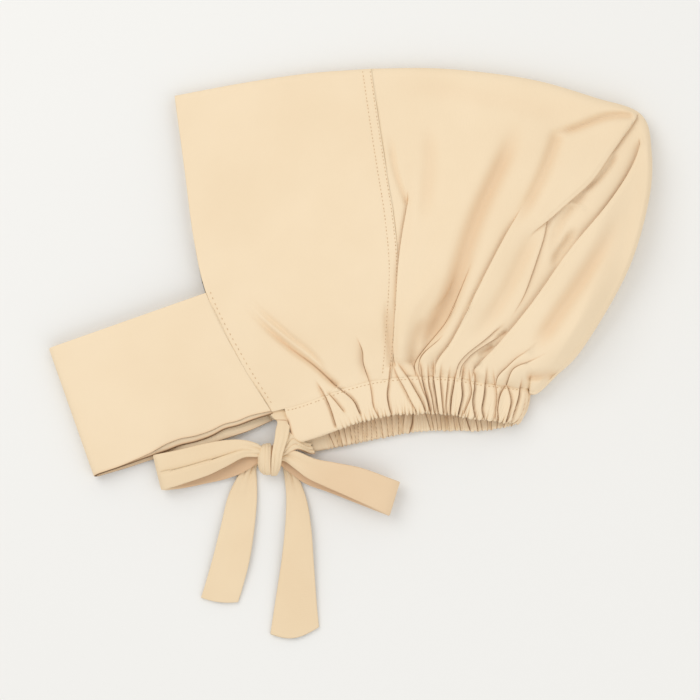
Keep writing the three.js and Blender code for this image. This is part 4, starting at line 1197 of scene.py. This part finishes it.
# %% [markdown]
# ## The ties
# The ties are narrow tubes of the same jersey, pressed flat, 25 mm wide. Each is a ribbon between
# two edges that were read off the picture; the rows also say how high its middle lies and how
# much its middle stands proud of its edges.
# %% Ribbons between two traced edges
TIE_WALL = 1.8 * MM


def crowded_ends(count):
    """Shares from 0 to 1 that stand closest at both ends: (1 - the cosine of half a turn) / 2."""
    return (1 - np.cos(np.linspace(0, math.pi, count))) / 2


def round_ribbon(values):
    """Values over a ribbon's face as values round its rings: the underside mirrors the top."""
    return np.concatenate([values, values[:, -2:0:-1]], 1)


def ribbon(rows, steps, across, crease, crown=0.0, tilts=0):
    """Rings round a flat strip. A row is two edge pixels (x, y, x, y) and a height in millimetres.

    Between its edges the strip is straight, tilted by so many millimetres. Its middle is crowned
    by half a sine wave, and a crease adds its own height. The edges are rounded as half ellipses.
    """
    rows = np.array(rows, float)
    t, s = np.linspace(0, 1, steps), crowded_ends(across)
    first, second = (smooth_line(traced(rows[:, k : k + 2], rows[:, 4:] * MM), t) for k in (0, 2))
    level = smooth_line(np.column_stack([rows[:, 4], np.broadcast_to(tilts, len(rows))]) * MM, t)
    plan = lerp(first[:, None], second[:, None], s[None, :, None])
    height = level[:, :1] + level[:, 1:] * (s[None] - 0.5) + crown * MM * arch(s)[None]
    middle = np.concatenate([plan, (height + crease(t[:, None], s[None]))[..., None]], -1)
    edge = np.linalg.norm(second - first, axis=1)[:, None] * np.minimum(s, 1 - s)[None]
    thick = TIE_WALL / 2 * np.sqrt(1 - (1 - np.clip(edge / (0.7 * TIE_WALL), 0, 1)) ** 2)
    out = -wall_normals(middle) * thick[..., None]
    return np.concatenate([middle + out, (middle - out)[:, -2:0:-1]], 1)


def ribbon_piece(name, nodes, rings, painted_shade=0.0):
    """A ribbon's rings as a piece of the tie's jersey."""
    count, around = rings.shape[:2]
    run = np.linspace(0, 0.12, count)[:, None]
    round_it = 0.05 * np.minimum(np.arange(around), around - np.arange(around))[None] / around
    weave = np.stack(np.broadcast_arrays(run, round_it), -1)
    rings = rings.copy()
    rings[..., 2] = np.maximum(rings[..., 2], 0.02 * MM)
    painted_shade = np.broadcast_to(painted_shade, (count, around))
    return new_piece(name, rings, closed_tube(rings), TIE_JERSEY, nodes, painted_shade, weave)


print("a tie is", TIE_WALL / MM, "mm thick")

# %% Tails
# A row is two edge pixels (x, y, x, y) and the height of the strip's middle in millimetres.
LEFT_TAIL = [
    (251, 459, 261, 461, 1.6), (243.5, 467, 256.5, 468, 1.6), (235.5, 480, 257, 481, 1.8),
    (227.5, 498, 257, 500, 2.4), (221, 525, 254.5, 528, 3.2), (213, 557, 249.5, 561, 3.0),
    (205, 585, 242.5, 588, 1.8), (201, 597.5, 238.2, 602, 1.1)
]
RIGHT_TAIL = [
    (281, 457, 284, 458, 1.8), (282.8, 466, 293, 468, 1.8), (285, 482, 301, 483, 2.0),
    (286.3, 500, 307.5, 503, 3.2), (285, 528, 311.5, 530, 4.2), (281.5, 560, 313.8, 562, 3.6),
    (275.5, 600, 316.5, 600, 2.2), (270.3, 634, 319, 627, 1.1)
]


def rounded_end(rings, bow):
    """Push a strip's last rings out by half a sine wave, so that its cut end is curved."""
    run = np.linspace(0, 1, len(rings))[:, None]
    s = round_ribbon(crowded_ends(rings.shape[1] // 2 + 1)[None])
    push = bow * arch(s) * smoothstep(run, 0.8, 1)
    return rings + push[..., None] * unit(rings[-1].mean(0) - rings[-8].mean(0))


def tail_folds(seed):
    """Long soft waves down a tail, and small puckers where it leaves the knot."""
    def crease(t, s):
        long_wave = 0.5 * np.sin(5 * t + 3 * s + seed) * arch(s)
        pucker = 1.1 * sine(2.5 * s + 0.2 * seed) * (1 - smoothstep(t, 0.05, 0.45))
        return MM * (long_wave + pucker * arch(s))
    return crease


left_tail = rounded_end(ribbon(LEFT_TAIL, 150, 34, tail_folds(0.6)), 1.6 * MM)
left_tail_piece = ribbon_piece("left_tail_jersey", ["left_tail"], left_tail)
right_tail = rounded_end(ribbon(RIGHT_TAIL, 170, 34, tail_folds(2.1)), 5.0 * MM)
right_tail_piece = ribbon_piece("right_tail_jersey", ["right_tail"], right_tail)

# %% [markdown]
# ## The bow's loops
# A loop is one strip that leaves the knot, turns over at its end and comes back underneath. The
# left one is creased along its length and shows a little of its lower run.
# %% Loops
LEFT_LOOP = [
    (262, 447, 262, 457, 9.5), (256, 443, 256, 457, 10.2), (243, 439.8, 243.5, 457.5, 10.6),
    (226, 440, 227, 466, 10.6), (205, 443.5, 208.5, 475, 10.4), (180, 449.5, 184, 483.5, 10.0),
    (160, 453.6, 168, 488.6, 9.4), (154.9, 454.6, 163.4, 489.8, 7.4), (154.5, 455, 163, 490, 5.6),
    (160, 455, 168, 490, 4.0), (180, 454, 184, 488, 3.0), (203, 452, 206, 483.5, 2.6),
    (222, 453, 224, 479.5, 3.0), (240, 455, 242, 473, 4.2), (258, 454, 260, 462, 6.0)
]
RIGHT_LOOP = [
    (279, 451, 279, 461, 9.5), (287, 449.6, 285, 461.5, 10.4), (297, 451.2, 294, 468, 11.4),
    (315, 458.6, 308, 478.5, 12.6), (335, 462.5, 327, 487.4, 13.2), (362, 468, 350, 497.6, 13.4),
    (389, 477.8, 378, 510.5, 13.0), (397.6, 481, 387, 515, 11.2), (398, 481.2, 387.4, 515.3, 9.4),
    (390, 478.6, 379, 512, 7.0), (362, 470, 351, 501, 5.0), (335, 465, 328, 492, 4.2),
    (313, 461, 306, 484, 4.0), (297, 457, 290, 473, 4.6), (281, 455, 279, 464, 6.0)
]


def left_crease(t, s):
    """A sharp step along the left loop's upper run, and puckers at the knot."""
    upper = smoothstep(t, 0.06, 0.16) * (1 - smoothstep(t, 0.42, 0.52))
    off = s - lerp(0.62, 0.54, smoothstep(t, 0.1, 0.5))
    step = 1.5 * smoothstep(off, -0.02, 0.05) * bell(np.maximum(off, 0), 0.4)
    hollow = -0.9 * bell(np.minimum(off, 0), 0.1) * (off < 0)
    pucker = 0.8 * sine(2.2 * s) * (1 - smoothstep(t, 0.03, 0.22)) * arch(s)
    return MM * ((step + hollow) * upper * arch(s) ** 0.5 + pucker)


def right_crease(t, s):
    """Two soft waves along the right loop, steeper beside the knot."""
    near_knot = 1 - smoothstep(t, 0.04, 0.3)
    waves = sine(1.4 * s + 0.15) * (0.25 + 0.9 * near_knot) + 0.3 * np.sin(9 * t + 2 * s)
    return MM * waves * arch(s)


LOOP_STEPS = 260
loop_run = np.linspace(0, 1, LOOP_STEPS)[:, None]
# Painted shade on each loop's lower run, and a little on the right loop beyond the knot, where it lies
# darker as it tilts.
underside = smoothstep(loop_run, 0.6, 0.75)
left_loop = ribbon(LEFT_LOOP, LOOP_STEPS, 46, left_crease, crown=0.6)
left_loop_piece = ribbon_piece("left_loop_jersey", ["left_loop"], left_loop, 0.42 * underside)
right_loop = ribbon(RIGHT_LOOP, LOOP_STEPS, 40, right_crease, crown=0.5)
right_loop_shade_paint = 0.25 * underside + 0.18 * smoothstep(loop_run, 0.12, 0.35)
right_loop_piece = ribbon_piece("right_loop_jersey", ["right_loop"], right_loop, right_loop_shade_paint)

# %% [markdown]
# ## The knot and its leads
# The tie is wrapped twice round itself, and the wraps lie side by side like two small barrels.
# Out of the top of the right one the tie's own end runs up to the hood's corner; the other lead
# is pulled flat from the far end of the casing.
# %% Knot
# Lines in the knot's cloth: where along it, how deep as a share of its radius, and how wide.
# The first is the groove between the two barrels.
KNOT_LINES = [(0.16, 0.2, 0.085), (-0.42, 0.05, 0.05), (-0.68, 0.04, 0.06), (0.55, 0.045, 0.05),
              (-0.12, 0.02, 0.05)]


def knot_shape(steps=90, around=72):
    """Rings along the bow: two round barrels, parted by a groove that slants as it goes round."""
    s = np.linspace(-1, 1, steps)[:, None]
    angle = np.linspace(0, 2 * math.pi, around, endpoint=False)[None]
    slant = 0.12 * np.sin(angle) + 0.05 * np.sin(2 * angle + 1)
    full = np.sqrt(np.maximum(1 - 0.93 * np.abs(s) ** 3.5, 0)) + 0 * angle
    for at, depth, width in KNOT_LINES:
        full = full * (1 - depth * bell(s - at - slant, width))
    share = np.stack([s + 0 * angle, np.cos(angle) * full, np.sin(angle) * full], -1)
    groove_at, _, groove_width = KNOT_LINES[0]
    return KNOT + share * (knot_high - knot_low) / 2, bell(s - groove_at - slant, groove_width)


knot_place, knot_groove = knot_shape()
# Painted shade in the groove between the two barrels.
knot = ribbon_piece("knot_jersey", ["knot"], knot_place, knot_groove * 0.6)

# %% Leads
NEAR_LEAD = [
    (289, 405, 268, 403, 5.4), (290.5, 411, 268.5, 411, 6.4), (290.2, 417.5, 272.2, 417.2, 7.8),
    (290, 423.5, 277.2, 422, 9.6), (289.3, 431, 275.6, 430, 12.4), (287.6, 439, 274.6, 439, 14.6),
    (285, 447, 273, 447, 15.4), (282.6, 455, 271.9, 455, 15.9), (281.2, 463, 271.4, 463, 15.2),
    (279.2, 470, 271.2, 470.5, 12.0), (277.5, 474.5, 271, 475, 7.5)
]
FAR_LEAD = [
    (309.5, 440.5, 315, 454, 5.4), (303, 439.5, 310.5, 454, 6.2), (296, 436, 304.5, 451.5, 8.6),
    (289, 432, 297, 449.5, 11.2), (285, 440, 289, 453, 12.2), (281, 449, 282, 456.5, 11.2),
    (277, 453, 277, 458.5, 9.0)
]
FAR_TILTS = [1, 1, 1, 1, 1, 0, 0]
CORNER_AT = 0.245


def pulled(t, s):
    """Lengthwise puckers of the near tie, below a plain corner that stands 0.5 mm proud of them."""
    pucker = 0.45 * sine(2.2 * s + 0.25) * arch(s)
    below = smoothstep(t, CORNER_AT - 0.01, CORNER_AT + 0.015)
    return MM * (pucker * smoothstep(t, CORNER_AT, 0.5) + 0.5 * (1 - below))


def far_puckers(t, s):
    """Three and a half sine waves across the far tie, which shift sideways along it."""
    return sine(3.4 * s + 0.25 + 0.3 * t)


def bunched(t, s):
    """Puckers of the far tie, deepest where it leaves the casing."""
    return MM * lerp(0.75, 0.4, smoothstep(t, 0.1, 0.6)) * far_puckers(t, s) * arch(s)


near_lead = ribbon(NEAR_LEAD, 110, 30, pulled, crown=0.7)
t, s = np.linspace(0, 1, 110)[:, None], crowded_ends(30)[None]
# Painted shade: a dark line across the near tie at its plain corner's crease.
corner_shade_line = round_ribbon(1.2 * bell(t - CORNER_AT - 0.012, 0.011) * smoothstep(s, 0.12, 0.4))
near_lead_piece = ribbon_piece("near_lead_jersey", ["near_lead"], near_lead, corner_shade_line)
far_lead = ribbon(FAR_LEAD, 80, 40, bunched, crown=0.4, tilts=FAR_TILTS)
t, s = np.linspace(0, 1, 80)[:, None], crowded_ends(40)[None]
# Painted shade in the grooves of the far tie's puckers.
groove_shade = 0.75 * np.clip(-2.5 * far_puckers(t, s) - 1.4, 0, 1) * (1 - smoothstep(t, 0.35, 0.8))
far_lead_piece = ribbon_piece("far_lead_jersey", ["far_lead"], far_lead, round_ribbon(groove_shade))

# %% [markdown]
# ## Floor, light and camera
# A pale sweep of paper, one large soft light from the upper left, and pale light from all round
# fill the folds. The camera looks straight down.
# %% Floor
FLOOR_SIZE, FLOOR_HEIGHT = 8.0, -0.2 * MM
floor_corners = [(x * FLOOR_SIZE / 2, y * FLOOR_SIZE / 2, FLOOR_HEIGHT)
                 for x, y in ((-1, -1), (1, -1), (1, 1), (-1, 1))]
floor_mesh = bpy.data.meshes.new("floor")
floor_mesh.from_pydata(floor_corners, [], [(0, 1, 2, 3)])
floor = bpy.data.objects.new("floor", floor_mesh)
bpy.context.collection.objects.link(floor)
floor_mesh.materials.append(new_material("matt paper", {
    "Base Color": linear("#e9e9e7"),
    "Roughness": 0.95,
    "Specular IOR Level": 0.1,
})[0])
print("floor laid")

# %% [markdown]
# ## Cut sizes
# The casing is pressed double, a tie is a pressed tube, and beside the knot the tie is folded
# lengthwise. The sizes that the pieces had flat are not set in this script.
# %% Cut sizes: none set
print("no cut sizes set")

# %% Light
world = bpy.data.worlds.new("pale room")
bpy.context.scene.world = world
world.use_nodes = True
sky = world.node_tree.nodes["Background"]
sky.inputs["Color"].default_value = (1.0, 0.99, 0.975, 1)
sky.inputs["Strength"].default_value = 0.84


def soft_light(name, place, size, energy, colour):
    """A square lamp that faces the middle of the cap: turned down by the angle off the vertical."""
    light = bpy.data.lights.new(name, "AREA")
    light.shape = "SQUARE"
    light.size, light.energy, light.color = size, energy, colour
    lamp = bpy.data.objects.new(name, light)
    bpy.context.collection.objects.link(lamp)
    lamp.location = place
    aim = -np.array(place)
    off_vertical = math.acos(-aim[2] / np.linalg.norm(aim))
    lamp.rotation_euler = (off_vertical, 0, math.atan2(aim[1], aim[0]) - math.pi / 2)
    print(name, size, "m wide")


soft_light("soft box", (-1.0, 0.95, 1.5), 1.3, 11.5, (1.0, 0.985, 0.965))
soft_light("fill", (1.1, -1.0, 1.2), 1.6, 5.5, (1.0, 0.985, 0.97))

# %% Camera
lens = bpy.data.cameras.new("camera")
lens.sensor_width = 36
lens.lens = 36 * (LENS_HEIGHT - IN_FOCUS) / (700 * PIXEL)
lens.clip_start, lens.clip_end = 0.05, 20
camera = bpy.data.objects.new("camera", lens)
bpy.context.collection.objects.link(camera)
camera.location = (CAMERA_PLACE[0], CAMERA_PLACE[1], LENS_HEIGHT)
bpy.context.scene.camera = camera
bpy.context.scene.view_settings.view_transform = "Standard"
bpy.context.scene.view_settings.look = "None"
print("lens", round(lens.lens, 1), "mm")
